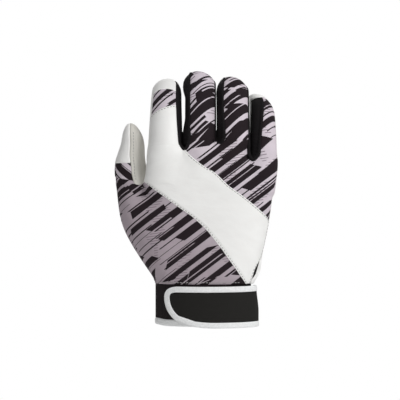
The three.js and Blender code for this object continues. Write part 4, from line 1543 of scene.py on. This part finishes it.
@dataclass
class Finger:
    """One finger: a back strip, a front strip, two sides and the leather over the tip."""

    skin: Skin
    wardrobe: Wardrobe
    form: FingerForm
    tip_angle: Row
    tip_start: Row
    step: float = 0.9
    leather: float = 0.9
    cloth: float = 0.3
    edge: float = 1.2
    bead: float = 0.9
    bead_edge: float = 1.1
    hidden_bead: float = 0.3
    lap: float = 1.0
    start: float = -1.5
    mean: float = 20.0
    print_share: float = 0.84
    front_half: Span = (50.0, 18.0)
    front_ease: float = 42.0
    base_bend: Span = (-6.0, 7.5)
    middle_bend: Span = (-7.0, 7.0)
    fold: float = 1.1
    fold_spread: float = 6.0
    front_dent: float = 0.4
    print_dent: float = 0.2
    index_dent: float = 0.1
    wave: float = 0.15
    dive: float = 0.2
    patch_angle: Row = (40, 65, 90, 115, 140, 168)
    patch_low: Row = (34.6, 32.8, 31.1, 29.5, 28.1, 26.5)
    patch_high: Row = (48.0, 48.7, 49.0, 49.2, 49.2, 48.4)
    patch_lap: float = 1.5
    patch_thread: float = 2.0
    level_first: Span = (45.0, 204.0)
    level_last: Span = (38.0, -24.0)
    level_ends: Span = (330.0, -50.0)
    level_ease: float = 4.0

    def tip(self, angle: Array | float) -> Array:
        """Where the tip leather starts at an angle."""
        return np.interp(np.mod(angle, 360), self.tip_angle, self.tip_start)

    @property
    def back_tip(self) -> float:
        """Where the tip leather starts in the middle of the back."""
        return float(self.tip(90.0))

    def spread(self, s: Array) -> Array:
        """Half the angle of the front strip, which grows towards the tip."""
        half, more = self.front_half
        return half + more * smooth_step(s, self.back_tip - self.front_ease, self.back_tip)

    def sector(self, side: Side) -> tuple[Curve, Curve]:
        """Finds the ends of a strip: 270 is the middle of the front."""
        ulnar, radial = (partial(self.form.seam, seam) for seam in (Side.ULNAR, Side.RADIAL))
        ends = {
            Side.BACK: (ulnar, radial),
            Side.RADIAL: (radial, lambda s: 270 - self.spread(s)),
            Side.FRONT: (lambda s: 270 - self.spread(s), lambda s: 270 + self.spread(s)),
            Side.ULNAR: (lambda s: self.spread(s) - 90, ulnar),
        }
        return ends[side]

    def strip(self, side: Side, start: Curve, end: Curve) -> Sheet:
        """Lays the bare form of one strip between two distances from the web.

        Args:
            side: which strip.
            start: first distance at an angle.
            end: last distance at an angle.

        Returns:
            The strip, with a flat place that goes on from the hand's print.
        """
        form, (low, high) = self.form, self.sector(side)
        first, last = low(np.array(self.mean)), high(np.array(self.mean))
        wide = float(np.radians(last - first)) * form.depth / 2
        share = spaced(0, wide, self.step, self.edge) / wide
        rough = first + (last - first) * share
        a, b = start(rough), end(rough)
        rows = spaced(0, float(np.max(b - a)), self.step, self.edge) / np.max(b - a)
        s = a + (b - a) * rows[:, None]
        angle = low(s) + (high(s) - low(s)) * share
        root = form.points(np.full(s.shape, self.start), angle)
        flat = np.stack([root[..., 0], root[..., 2] + self.print_share * (s - self.start)], -1)
        return Sheet(self.skin.finger(form, s, angle), form.axes(s)[0], flat)

    def sew(
        self, shape: Sheet | Stitches, kind: str, look: Look, level: Level, bend: Bend, part: str = "sewn"
    ) -> None:
        """Makes a piece of the finger, with its place baked into its mesh.

        Args:
            shape: the finished sheet or stitches.
            kind: name of the strip.
            look: its finish.
            level: which CAD node of the strip it stands for.
            bend: the bend that it belongs to.
            part: ending of the piece's name.
        """
        form = self.form
        piece = self.wardrobe.sew(shape, f"{form.name}_{kind}_{level.value}", look, part)
        lower, upper = f"{form.name}_lower", f"{form.name}_upper"
        if bend is Bend.BASE:
            middle, span, bodies = form.hinge, self.base_bend, ("hand", lower)
        else:
            middle, span, bodies = form.knuckle, self.middle_bend, (lower, upper)
        ends = form.axes(middle + np.array(span))[0] * MM
        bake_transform(piece)

    def plain(self, sheet: Sheet, height: float, dent: float, high: bool = False) -> Sheet:
        """Raises a strip with rounded edges, faint creases at the middle bend and a calm wave.

        Args:
            sheet: the bare form.
            height: its thickness.
            dent: height of the creases.
            high: whether its upper edge is rounded too.

        Returns:
            The finished strip.
        """
        d = sheet.edge(high=high)
        near = self.form.station(sheet.points)
        past = near - self.form.knuckle
        folds = np.cos(past * self.fold) * np.exp(-((past / self.fold_spread) ** 2))
        calm = smooth_step(d, 0.5, 5.0) * smooth_step(near, 4.0, 12.0)
        dive = self.dive + (1 - self.dive) * smooth_step(near, -0.5, 2.2)
        waves = dent * folds + self.wave * ripple(sheet.points, 3, 6.0)
        return sheet.raised(rounded(d, height, self.edge) * dive + calm * waves)

    def rolled(self, sheet: Sheet, side: Side) -> Sheet:
        """Raises a knit strip with a rolled edge towards the back and a lesser one towards the front."""
        top = smooth_step(sheet.edge(False, False, high=True), 0.8, 4.0)
        root = smooth_step(sheet.edge(False, False, low=True), 2.0, 7.0)
        edges = sheet.edge(right=False), sheet.edge(left=False)
        seen, hidden = edges if side is Side.RADIAL else edges[::-1]
        lesser = beaded(hidden, self.hidden_bead, self.bead_edge)
        return sheet.raised(np.maximum(beaded(seen, self.bead, self.bead_edge), lesser) * (top * root))

    def parted(self, sheet: Sheet) -> tuple[tuple[Level, Bend, Sheet], ...]:
        """Parts a long strip in two pieces, which share the row midway between the bends."""
        middle = self.form.station(sheet.points[:, sheet.points.shape[1] // 2])
        row = int(np.argmin(np.abs(middle - self.form.split)))
        lower, upper = sheet.rows(slice(0, row + 1)), sheet.rows(slice(row, None))
        return (Level.LOWER, Bend.BASE, lower), (Level.UPPER, Bend.MIDDLE, upper)

    def pair(self, kind: str, side: Side, look: Look, height: float, dent: float = 0.0) -> None:
        """Makes the lower and the upper piece of one strip."""
        sheet = self.strip(side, constant(self.start), lambda angle: self.tip(angle) + self.lap)
        sheet = self.rolled(sheet, side) if look is Look.KNIT else self.plain(sheet, height, dent)
        for level, bend, piece in self.parted(sheet):
            self.sew(piece, kind, look, level, bend)

    def patched_back(self) -> None:
        """Makes the index finger's back: leather to an arched edge, a printed patch, then leather again."""
        low, high = table(self.patch_angle, self.patch_low), table(self.patch_angle, self.patch_high)
        over = self.strip(Side.BACK, constant(self.start), low)
        over = self.plain(over, self.leather, self.index_dent, True)
        over = over.raised(sewn(over.edge(False, False, high=True)))
        for level, bend, piece in self.parted(over):
            part = "edge" if level is Level.UPPER else "sewn"
            self.sew(piece, "back", Look.LEATHER, Level.LOWER, bend, part)
        thread = Stitches(*over.turned().inset(self.patch_thread, True))
        self.sew(thread, "back", Look.THREAD, Level.LOWER, Bend.MIDDLE, "thread")
        lap = self.patch_lap
        patch = self.strip(Side.BACK, lambda angle: low(angle) - lap, lambda angle: high(angle) + lap)
        patch = self.plain(patch, self.cloth, self.index_dent)
        self.sew(patch, "back", Look.PRINT, Level.UPPER, Bend.MIDDLE)
        cap = self.strip(Side.BACK, high, constant(self.back_tip + self.lap))
        cap = cap.raised(rounded(cap.edge(low=True), self.leather, self.edge))
        self.sew(cap, "front", Look.LEATHER, Level.UPPER, Bend.MIDDLE, "cap")

    def tip_leather(self, level_sectors: tuple[Span, ...]) -> None:
        """Makes the leather over the fingertip, in rows that grow closer to the end."""
        form = self.form
        angle = np.linspace(-40.0, 320.0, 96, endpoint=False)
        share = np.unique(np.r_[np.linspace(0, 1, 40), (0.004, 0.012, 0.03)])
        left = np.maximum(1 - share[:, None], 0.001) ** 2
        s = form.length - (form.length - self.tip(angle)) * left
        turn = np.broadcast_to(angle, s.shape)
        sheet = Sheet(form.points(s, turn), form.axes(s - 3.0)[0], wrap=True)
        ease = self.level_ease
        parts = [window(turn, (a - ease, a + ease), (b - ease, b + ease)) for a, b in level_sectors]
        proud = rounded(s - self.tip(turn), self.leather, self.edge)
        lift = proud + (self.leather - proud) * np.max(parts, axis=0)
        self.sew(sheet.raised(lift), "front", Look.LEATHER, Level.UPPER, Bend.MIDDLE, "tip")

    def build(self) -> None:
        """Makes all strips of the finger."""
        index, little = self.form is INDEX, self.form is LITTLE
        self.pair("front", Side.FRONT, Look.LEATHER, self.leather, self.front_dent)
        for side, outer in ((Side.RADIAL, index), (Side.ULNAR, little)):
            if outer:
                self.pair("side", side, Look.LEATHER, self.leather)
            else:
                self.pair(f"fourchette_{side.value}", side, Look.KNIT, self.bead)
        if index:
            self.patched_back()
        else:
            self.pair("back", Side.BACK, Look.PRINT, self.cloth, self.print_dent)
        first, last = self.level_first[0 if index else 1], self.level_last[0 if little else 1]
        self.tip_leather(((first, self.level_ends[0]), (self.level_ends[1], last)))


@dataclass
class Thumb:
    """The thumb: a printed patch, the leather back and the leather front that wraps over the tip."""

    skin: Skin
    wardrobe: Wardrobe
    cloth_below: Sheet
    hinge: float = 122.5
    bend: Span = (-6.0, 7.0)
    patch_high: float = 131.0
    patch_lap: float = 1.0
    patch_turn: tuple[Span, Span] = ((-1.0, 1.0), (20.0, 0.0))
    thread: float = 3.4
    back_start: float = 165.0
    dome: float = 150.0
    mean_height: float = 130.0
    step: float = 0.8
    leather: float = 0.9
    cloth: float = 0.25
    edge: float = 1.2
    wave: float = 0.2
    seam_z: Row = (108, 121, 130, 142, 152, 163)
    seam_angle: Row = (274, 272, 274, 263, 258, 263)
    front_angle: Row = (270, 278, 286, 296, 306, 330, 380, 430)
    front_z: Row = (116, 114, 113.4, 113.8, 115, 116.5, 117, 110)
    rise_z: Span = (102.0, 124.0)
    rise_turn: Span = (60.0, 420.0)
    rise_row: float = 115.0

    def seam(self, z: Array) -> Array:
        """Angle of the seam between the back and the front."""
        return through(z, self.seam_z, self.seam_angle)

    def sheet(self, low: Curve, high: Curve | None, start: Curve, end: Curve) -> Sheet:
        """Lays the bare form between two heights, which may change round the thumb, and two angles.

        Args:
            low: lower height at an angle.
            high: upper height, or None to close the tip.
            start: first angle at a height.
            end: last angle at a height.

        Returns:
            The sheet.
        """
        first, last = start(np.array(self.mean_height)), end(np.array(self.mean_height))
        wide = float(np.radians(last - first)) * 12.0
        share = spaced(0, wide, self.step, self.edge) / wide
        rough = first + (last - first) * share
        a, b = low(rough), (high or constant(self.dome))(rough)
        rows = spaced(0, float(np.max(b - a)), self.step, self.edge) / np.max(b - a)
        z = a + (b - a) * rows[:, None]
        if high is None:
            tip = self.skin.thumb.tip
            left = 1 - np.sin(np.linspace(0, np.pi / 2, 18)[1:])
            rise = tip - 5e-5 - (tip - self.dome) * left
            z = np.concatenate([z, np.broadcast_to(rise[:, None], (len(rise), z.shape[1]))])
        angle = start(z) + (end(z) - start(z)) * share
        x, y, _, _ = self.skin.thumb.section(z)
        flat = np.stack([x + 13.0 * np.radians(angle - 270), z], -1)
        return Sheet(self.skin.thumb_points(z, angle), np.stack([x, y, z - 2.0], -1), flat)

    def sew(self, shape: Sheet | Stitches, node: str, look: Look, part: str = "sewn") -> None:
        """Makes a piece of the thumb, with its place baked into its mesh."""
        z = self.hinge + np.array(self.bend)
        x, y, _, _ = self.skin.thumb.section(z)
        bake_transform(self.wardrobe.sew(shape, node, look, part))

    def rise(self) -> None:
        """Makes the last strip of the hand's printed panel, with the pattern of the cloth below it."""
        below = self.cloth_below
        row = int(np.argmin(np.abs(below.points[:, 0, 2] - self.rise_row)))
        x, y, a, b = self.skin.thumb.section(np.array(self.rise_row))
        ring = below.points[row]
        angle = np.mod(np.degrees(np.arctan2((ring[:, 1] - y) / b, (ring[:, 0] - x) / a)), 360)
        seen = (angle > 120.0) & (angle < 350.0)
        used = seen & (ring[:, 0] < -30.0)
        order = np.argsort(angle[used])
        sheet = self.sheet(*(constant(value) for value in (*self.rise_z, *self.rise_turn)))
        columns = sheet.points.shape[1]
        turn = np.interp(np.arange(columns), [0, columns - 1], self.rise_turn)
        sheet.flat[..., 0] = np.interp(turn, angle[used][order], below.flat[row, used, 0][order])
        self.sew(sheet.raised(self.cloth - 0.06), "thumb_side_panel", Look.PRINT, "rise")

    def leather_lift(self, sheet: Sheet) -> Array:
        """Thickness of the leather, with rounded edges and a calm wave."""
        d = sheet.edge(low=True)
        waves = smooth_step(d, 0.5, 6.0) * ripple(sheet.points, 9, 6.0)
        return rounded(d, self.leather, self.edge) + self.wave * waves

    def build(self) -> None:
        """Makes the strip of the hand's panel below the thumb, then the patch, the back and the front."""
        self.rise()
        start, far = constant(self.back_start), constant(self.back_start + 360)
        low = table((180, 276), (121, 117))
        patch = self.sheet(low, constant(self.patch_high + self.patch_lap), start, self.seam)
        mirror, move = np.array(self.patch_turn)
        patch.flat = patch.flat * mirror + move
        rim = rounded(patch.edge(low=True), 0.35, 0.7)
        self.sew(patch.raised(self.cloth + rim), "thumb_patch", Look.PRINT)
        back = self.sheet(constant(self.patch_high), None, start, self.seam)
        self.sew(back.raised(self.leather_lift(back)), "thumb_back", Look.LEATHER)
        front = self.sheet(table(self.front_angle, self.front_z), None, self.seam, far)
        front = front.raised(self.leather_lift(front) + sewn(front.edge(right=False), self.thread))
        # The front gets the greyer leather, a painted shade for the side that faces the hand
        self.sew(front, "thumb_front", Look.SHADED)
        line, out = front.inset(self.thread)
        used = (line[:, 2] > 116.0) & (line[:, 2] < 158.0)
        self.sew(Stitches(line[used], out[used]), "thumb_front", Look.THREAD, "thread")


@dataclass
class Cuff:
    """The cuff, its hem, the slit above it, and the strap that closes it."""

    skin: Skin
    wardrobe: Wardrobe
    back: HandBack
    half_width: float = 39.25
    half_depth: float = 22.0
    top: float = 35.0
    wall: float = 2.0
    rib: float = 0.1
    draw_in: float = 1.7
    hem_low: float = 1.9
    hem_high: float = 7.4
    hem_out: float = 0.6
    hem_fall: float = 0.9
    strap_length: float = 79.0
    strap_height: float = 33.0
    slant_start: float = 48.5
    slant_reach: float = 8.0
    slant_rise: float = 1.2
    corner: float = 14.0
    end_lift: float = 6.0
    heel: float = 9.0
    outline_steps: int = 260
    binding: float = 4.7
    binding_lap: float = 0.8
    binding_out: float = 0.45
    tab_rows: int = 30
    hinge: float = 3.0
    root: float = 24.0
    root_lap: float = 4.0
    root_z: Span = (1.0, 32.0)
    root_sink: float = 0.3
    strap_in: float = 2.5
    strap_out: float = 4.6
    bend: Span = (-4.0, 10.0)
    patch_z: Span = (10.4, 28.3)
    patch_edge: float = 0.8
    patch_gap: float = 0.2
    pile: float = 0.9
    loop_start: float = 26.0
    hook_length: float = 26.0
    slit_top: float = 60.0
    _turn: Array = field(init=False, repr=False)
    _angle: Array = field(init=False, repr=False)

    def __post_init__(self) -> None:
        """Measures the way round the cuff's ellipse, from its little-finger edge."""
        self._angle = np.linspace(np.pi, -2 * np.pi, 4001)
        x, y = self.half_width * np.cos(self._angle), self.half_depth * np.sin(self._angle)
        turn = run_of(np.stack([x, y], -1))
        self._turn = turn - np.interp(0, -self._angle, turn)

    def points(self, s: Array, z: Array, out: Array | float) -> Array:
        """Works out points on or off the cuff."""
        angle = np.interp(s, self._turn, self._angle)
        x = (self.half_width + out) * np.cos(angle)
        y = (self.half_depth + out) * np.sin(angle)
        x = x - self.draw_in * smooth_step(z, 12.0, 31.0) * smooth_step(np.cos(angle), 0.3, 1.0)
        return np.stack([x, y, z + 0 * x], -1)

    def ring(self, profile: Array, node: str, look: Look, ribs: float = 0.0) -> None:
        """Makes a band all round the cuff, a profile carried along its ellipse.

        Args:
            profile: distance out and height of each point of the profile.
            node: the CAD node that it stands for.
            look: its finish.
            ribs: height of ribs on its outer side.
        """
        girth = 2 * np.interp(np.pi, -self._angle, self._turn)
        s = np.linspace(0, girth, 720, endpoint=False)
        outside = profile[:, :1] > -self.wall / 4
        out = profile[:, :1] + ribs * np.sin(2 * np.pi * s / 1.7) * outside
        around = np.broadcast_to(s, out.shape)
        angle = np.interp(s, self._turn, self._angle)
        fall = self.hem_fall * smooth_step(np.abs(np.cos(angle)), 1.0, 0.75)
        fall = fall * smooth_step(profile[:, 1:], 12.0, 7.0) * (np.sin(angle) < 0)
        points = self.points(around, profile[:, 1:] - fall, out)
        flat = np.stack(np.broadcast_arrays(s, np.linspace(0, 40.0, len(profile))[:, None]), -1)
        middle = self.points(around, np.full((1, 1), profile[:, 1].mean()), -self.wall / 2)
        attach(self.wardrobe.sew(Sheet(points, middle, flat, wrap=True), node, look), "hand")

    def curve(self, *ends: Span) -> Array:
        """A parabola from one point to another, drawn to a third between them."""
        turn = np.linspace(0, 1, 24)[:, None]
        a, b, c = (np.array(point, float) for point in ends)
        return a * (1 - turn) ** 2 + 2 * b * turn * (1 - turn) + c * turn**2

    def outline(self, inset: float) -> Array:
        """Draws the strap's edge from the top of its root, round the free end, to the bottom of its root.

        Args:
            inset: distance inside the edge.

        Returns:
            Distances along the strap and heights.
        """
        length, height, corner, slant = self.strap_length, self.strap_height, self.corner, self.slant_start
        turned = (length, height - corner * 0.65)
        bulge = (length - 0.5, height - 20.0)
        heel = (length - self.heel, self.end_lift)
        reach = self.slant_reach
        line = np.concatenate([
            [(-self.hinge, height)],
            self.curve((length - corner * 0.75, height), (length, height), turned),
            self.curve(turned, bulge, heel)[1:],
            self.curve((slant + reach, self.slant_rise), (slant, 0), (slant - reach, 0)),
            [(-self.hinge, 0)],
        ])
        line = along_line(line, np.linspace(0, run_of(line)[-1], self.outline_steps))
        ahead = unit(np.gradient(line, axis=0))
        return line + np.stack([ahead[:, 1], -ahead[:, 0]], -1) * inset

    def patch(self, s: Span, z: Span, out: float, height: float) -> Sheet:
        """Shapes a rectangle with rounded edges, laid on the cuff."""
        grid_s, grid_z = np.meshgrid(*(spaced(*ends, 1.0, self.patch_edge) for ends in (s, z)))
        d = np.min([grid_s - s[0], s[1] - grid_s, grid_z - z[0], z[1] - grid_z], axis=0)
        inner = self.points(grid_s, grid_z, out - np.sign(height) * 5.0)
        points = self.points(grid_s, grid_z, out + rounded(d, height, self.patch_edge))
        return Sheet(points, inner, np.stack([grid_s, grid_z], -1))

    def build(self) -> None:
        """Makes the cuff, the hem, the patches, the strap and the gusset of the slit."""
        low, high, wall = self.hem_high, self.top, -self.wall
        outside = [(0.0, z) for z in np.linspace(high - 0.5, low, 40)]
        inside = [(wall, low), (wall, high), (wall / 2, high + 0.6), (0, high)]
        self.ring(np.array([*inside, *outside]), "cuff_band", Look.CUFF, self.rib)
        turn = np.linspace(0, 2 * np.pi, 25)
        middle, half = (self.hem_low + self.hem_high) / 2, (self.hem_high - self.hem_low) / 2
        squarer = np.sign(np.cos(turn)) * np.abs(np.cos(turn)) ** 0.5
        out = wall / 2 + (self.wall / 2 + self.hem_out) * squarer
        self.ring(np.stack([out, middle + half * np.sin(turn)], -1), "cuff_hem_binding", Look.BINDING)
        end = self.strap_length - self.binding
        loop = self.patch((self.loop_start, end), self.patch_z, self.patch_gap, self.pile)
        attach(self.wardrobe.sew(loop, "loop_patch", Look.PILE), "hand")
        ends = (-self.hinge - self.root, self.root_lap - self.hinge)
        root = self.patch(ends, self.root_z, self.patch_gap, self.strap_out - self.root_sink)
        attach(self.wardrobe.sew(root, "strap_root", Look.STRAP), "hand")
        ends = (end - self.binding - self.hook_length, end - self.binding)
        hook = self.patch(ends, self.patch_z, self.strap_in, -self.pile)
        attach(self.wardrobe.sew(hook, "hook_patch", Look.PILE), "strap")
        self.strap()
        self.gusset()

    def tab(self, middle: float) -> Sheet:
        """Spans the strap's upper and lower edge with cloth, on its outer face and back on its inner one."""
        outline = self.outline(self.binding - self.binding_lap)
        half = len(outline) // 2
        top, bottom = outline[:half], outline[len(outline) - half :][::-1]
        share = np.linspace(0, 1, self.tab_rows)[:, None, None]
        places = top * (1 - share) + bottom * share
        places = np.concatenate([places, places[::-1]])
        out = np.repeat([self.strap_out, self.strap_in], self.tab_rows)[:, None]
        s, z = places[..., 0], places[..., 1]
        return Sheet(self.points(s, z, out), self.points(s, z, middle), places)

    def bound_edge(self, middle: float) -> Sheet:
        """Carries the squarish round of the binding along the strap's edge."""
        turn = np.linspace(0, 2 * np.pi, 29)
        c, s = np.cos(turn), np.sin(turn)
        thick = (self.strap_out - self.strap_in) / 2 + self.binding_out
        across = self.binding / 2 * (1 - np.sign(c) * np.abs(c) ** 0.45)
        out = middle + thick * np.sign(s) * np.abs(s) ** 0.55
        places = np.stack([self.outline(inset) for inset in across])
        along = np.arange(self.outline_steps) * 0.7
        flat = np.stack(np.broadcast_arrays(along, across[:, None]), -1)
        centre = self.outline(self.binding / 2)
        points = self.points(places[..., 0], places[..., 1], out[:, None])
        inner = np.broadcast_to(self.points(centre[:, 0], centre[:, 1], middle), points.shape)
        return Sheet(points, inner, flat)

    def strap(self) -> None:
        """Makes the strap's cloth and its bound edge."""
        start, end = self.points(np.array(self.bend), np.array(16.5), self.strap_out) * MM
        middle = (self.strap_in + self.strap_out) / 2
        pieces = ((self.tab, "strap_tab", Look.STRAP), (self.bound_edge, "strap_binding", Look.BINDING))
        for shape, node, look in pieces:
            piece = self.wardrobe.sew(shape(middle), node, look)
            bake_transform(piece)

    def gusset(self) -> None:
        """Makes the dark elastic that shows in the slit at the little-finger side of the wrist."""
        rows, columns = (50, 15)
        heights = np.linspace(self.top - 1.0, self.slit_top, rows)
        z, share = np.meshgrid(heights, np.linspace(-0.15, 1.15, columns), indexing="ij")
        low, high = self.back.palm_seam(z), self.back.seam(z)
        sheet = Sheet(self.skin.hand(low + (high - low) * share, z), HEART)
        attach(self.wardrobe.sew(sheet.raised(0.15), "slit_gusset", Look.KNIT), "hand")


# Stage


@dataclass(frozen=True)
class Lamp:
    """A large soft lamp turned to the glove, in metres and watts."""

    name: str
    place: tuple[float, float, float]
    size: float
    power: float
    target: tuple[float, float, float] = (0, 0, 0.1)

    def build(self) -> None:
        """Makes the lamp."""
        data = bpy.data.lights.new(self.name, "AREA")
        data.size = self.size
        data.energy = self.power
        lamp = bpy.data.objects.new(self.name, data)
        lamp.location = self.place
        way = Vector(self.target) - Vector(self.place)
        lamp.rotation_euler = way.to_track_quat("-Z", "Y").to_euler()
        bpy.context.scene.collection.objects.link(lamp)


@dataclass(frozen=True)
class Studio:
    """A white studio: soft light, a pale floor below the photo's frame, and the camera of the photo."""

    middle: Span = (-3.45, 101.6)
    distance: float = 1200.0
    plane: float = -10.0
    lens: float = 135.0
    light: float = 0.3
    floor_half: float = 700.0
    floor_z: float = -160.0
    lamps: tuple[Lamp, ...] = (
        Lamp("key", (0.78, -0.62, 0.86), 0.6, 11.4),
        Lamp("fill", (-0.3, -1.0, 0.35), 0.9, 2.2),
        Lamp("back", (-0.25, 1.1, 0.6), 0.9, 6.0),
    )

    def build(self) -> None:
        """Makes the world, the lamps, the floor and the camera."""
        scene = bpy.context.scene
        scene.view_settings.view_transform = "Standard"
        self.world(scene)
        for lamp in self.lamps:
            lamp.build()
        self.floor()
        camera = bpy.data.cameras.new("camera")
        camera.lens = self.lens
        camera.sensor_width = 36.0
        holder = bpy.data.objects.new("camera", camera)
        holder.location = (self.middle[0] * MM, (self.plane - self.distance) * MM, self.middle[1] * MM)
        holder.rotation_euler = (np.pi / 2, 0, 0)
        scene.collection.objects.link(holder)
        scene.camera = holder

    def world(self, scene: bpy.types.Scene) -> None:
        """Gives the object even light, and the camera plain white.

        Args:
            scene: the scene.
        """
        world = bpy.data.worlds.new("studio")
        world.use_nodes = True
        scene.world = world
        tree = world.node_tree
        light = tree.nodes["Background"]
        white = tree.nodes.new("ShaderNodeBackground")
        for background in (light, white):
            background.inputs["Color"].default_value = (1, 1, 1, 1)
        light.inputs["Strength"].default_value = self.light
        path = tree.nodes.new("ShaderNodeLightPath")
        mix = tree.nodes.new("ShaderNodeMixShader")
        tree.links.new(path.outputs["Is Camera Ray"], mix.inputs["Fac"])
        tree.links.new(light.outputs[0], mix.inputs[1])
        tree.links.new(white.outputs[0], mix.inputs[2])
        tree.links.new(mix.outputs[0], tree.nodes["World Output"].inputs["Surface"])

    def floor(self) -> None:
        """Makes a pale floor well below the glove, out of the photo's frame."""
        ends = [-self.floor_half, self.floor_half]
        x, y = np.meshgrid(ends, ends)
        below = np.array([0.0, 0.0, self.floor_z - self.floor_half])
        floor = Sheet(np.stack([x, y, 0 * x + self.floor_z], -1), below).mesh("floor")
        paint = Paint("floor")
        grain = paint.noise(*paint.flat(), 40.0)
        colour = linear((250, 250, 250))
        floor.data.materials.append(paint.finish(colour, 0.9, grain, 0.05))


# X and height of points round the bottom of each web, on the back and on the palm
BACK_WEBS = (
    ((-15.4, 141.9),),
    ((13.3, 147.2),),
    ((35.7, 146.0), (35.8, 139.5), (39.2, 133.3)),
)
PALM_WEBS = (((-17.8, 138.5),), ((9.4, 143.0),), ((36.4, 134.0),))

# Where the leather over each fingertip starts: angles round the finger and distances from its web
TIPS = (
    ((0, 42, 58, 300, 318, 360), (63.5, 63.5, 58, 58, 63.5, 63.5)),
    ((0, 360), (66.5, 66.5)),
    ((0, 360), (61.5, 61.5)),
    ((0, 60, 100, 140, 180, 220, 270, 360), (58, 58, 57, 54.5, 55, 57, 58, 58)),
)


def main() -> None:
    """Builds the glove and its studio."""
    logging.basicConfig(level=logging.INFO, format="%(message)s")
    skin = Skin()
    wardrobe = Wardrobe()
    crotches, palm_crotches = (
        tuple(Crotch(skin, wardrobe, *row, palm) for row in zip(FINGERS, FINGERS[1:], lows))
        for lows, palm in ((BACK_WEBS, False), (PALM_WEBS, True))
    )
    back = HandBack(skin, wardrobe, crotches)
    back.build()
    PalmSide(skin, wardrobe, back, palm_crotches).build()
    for form, tip in zip(FINGERS, TIPS):
        Finger(skin, wardrobe, form, *tip).build()
    Thumb(skin, wardrobe, back.cloth_done).build()
    for crotch in (*crotches, *palm_crotches):
        crotch.build()
    Cuff(skin, wardrobe, back).build()
    Studio().build()
    LOG.info("%d pieces", wardrobe.count)


if __name__ == "__main__":
    main()
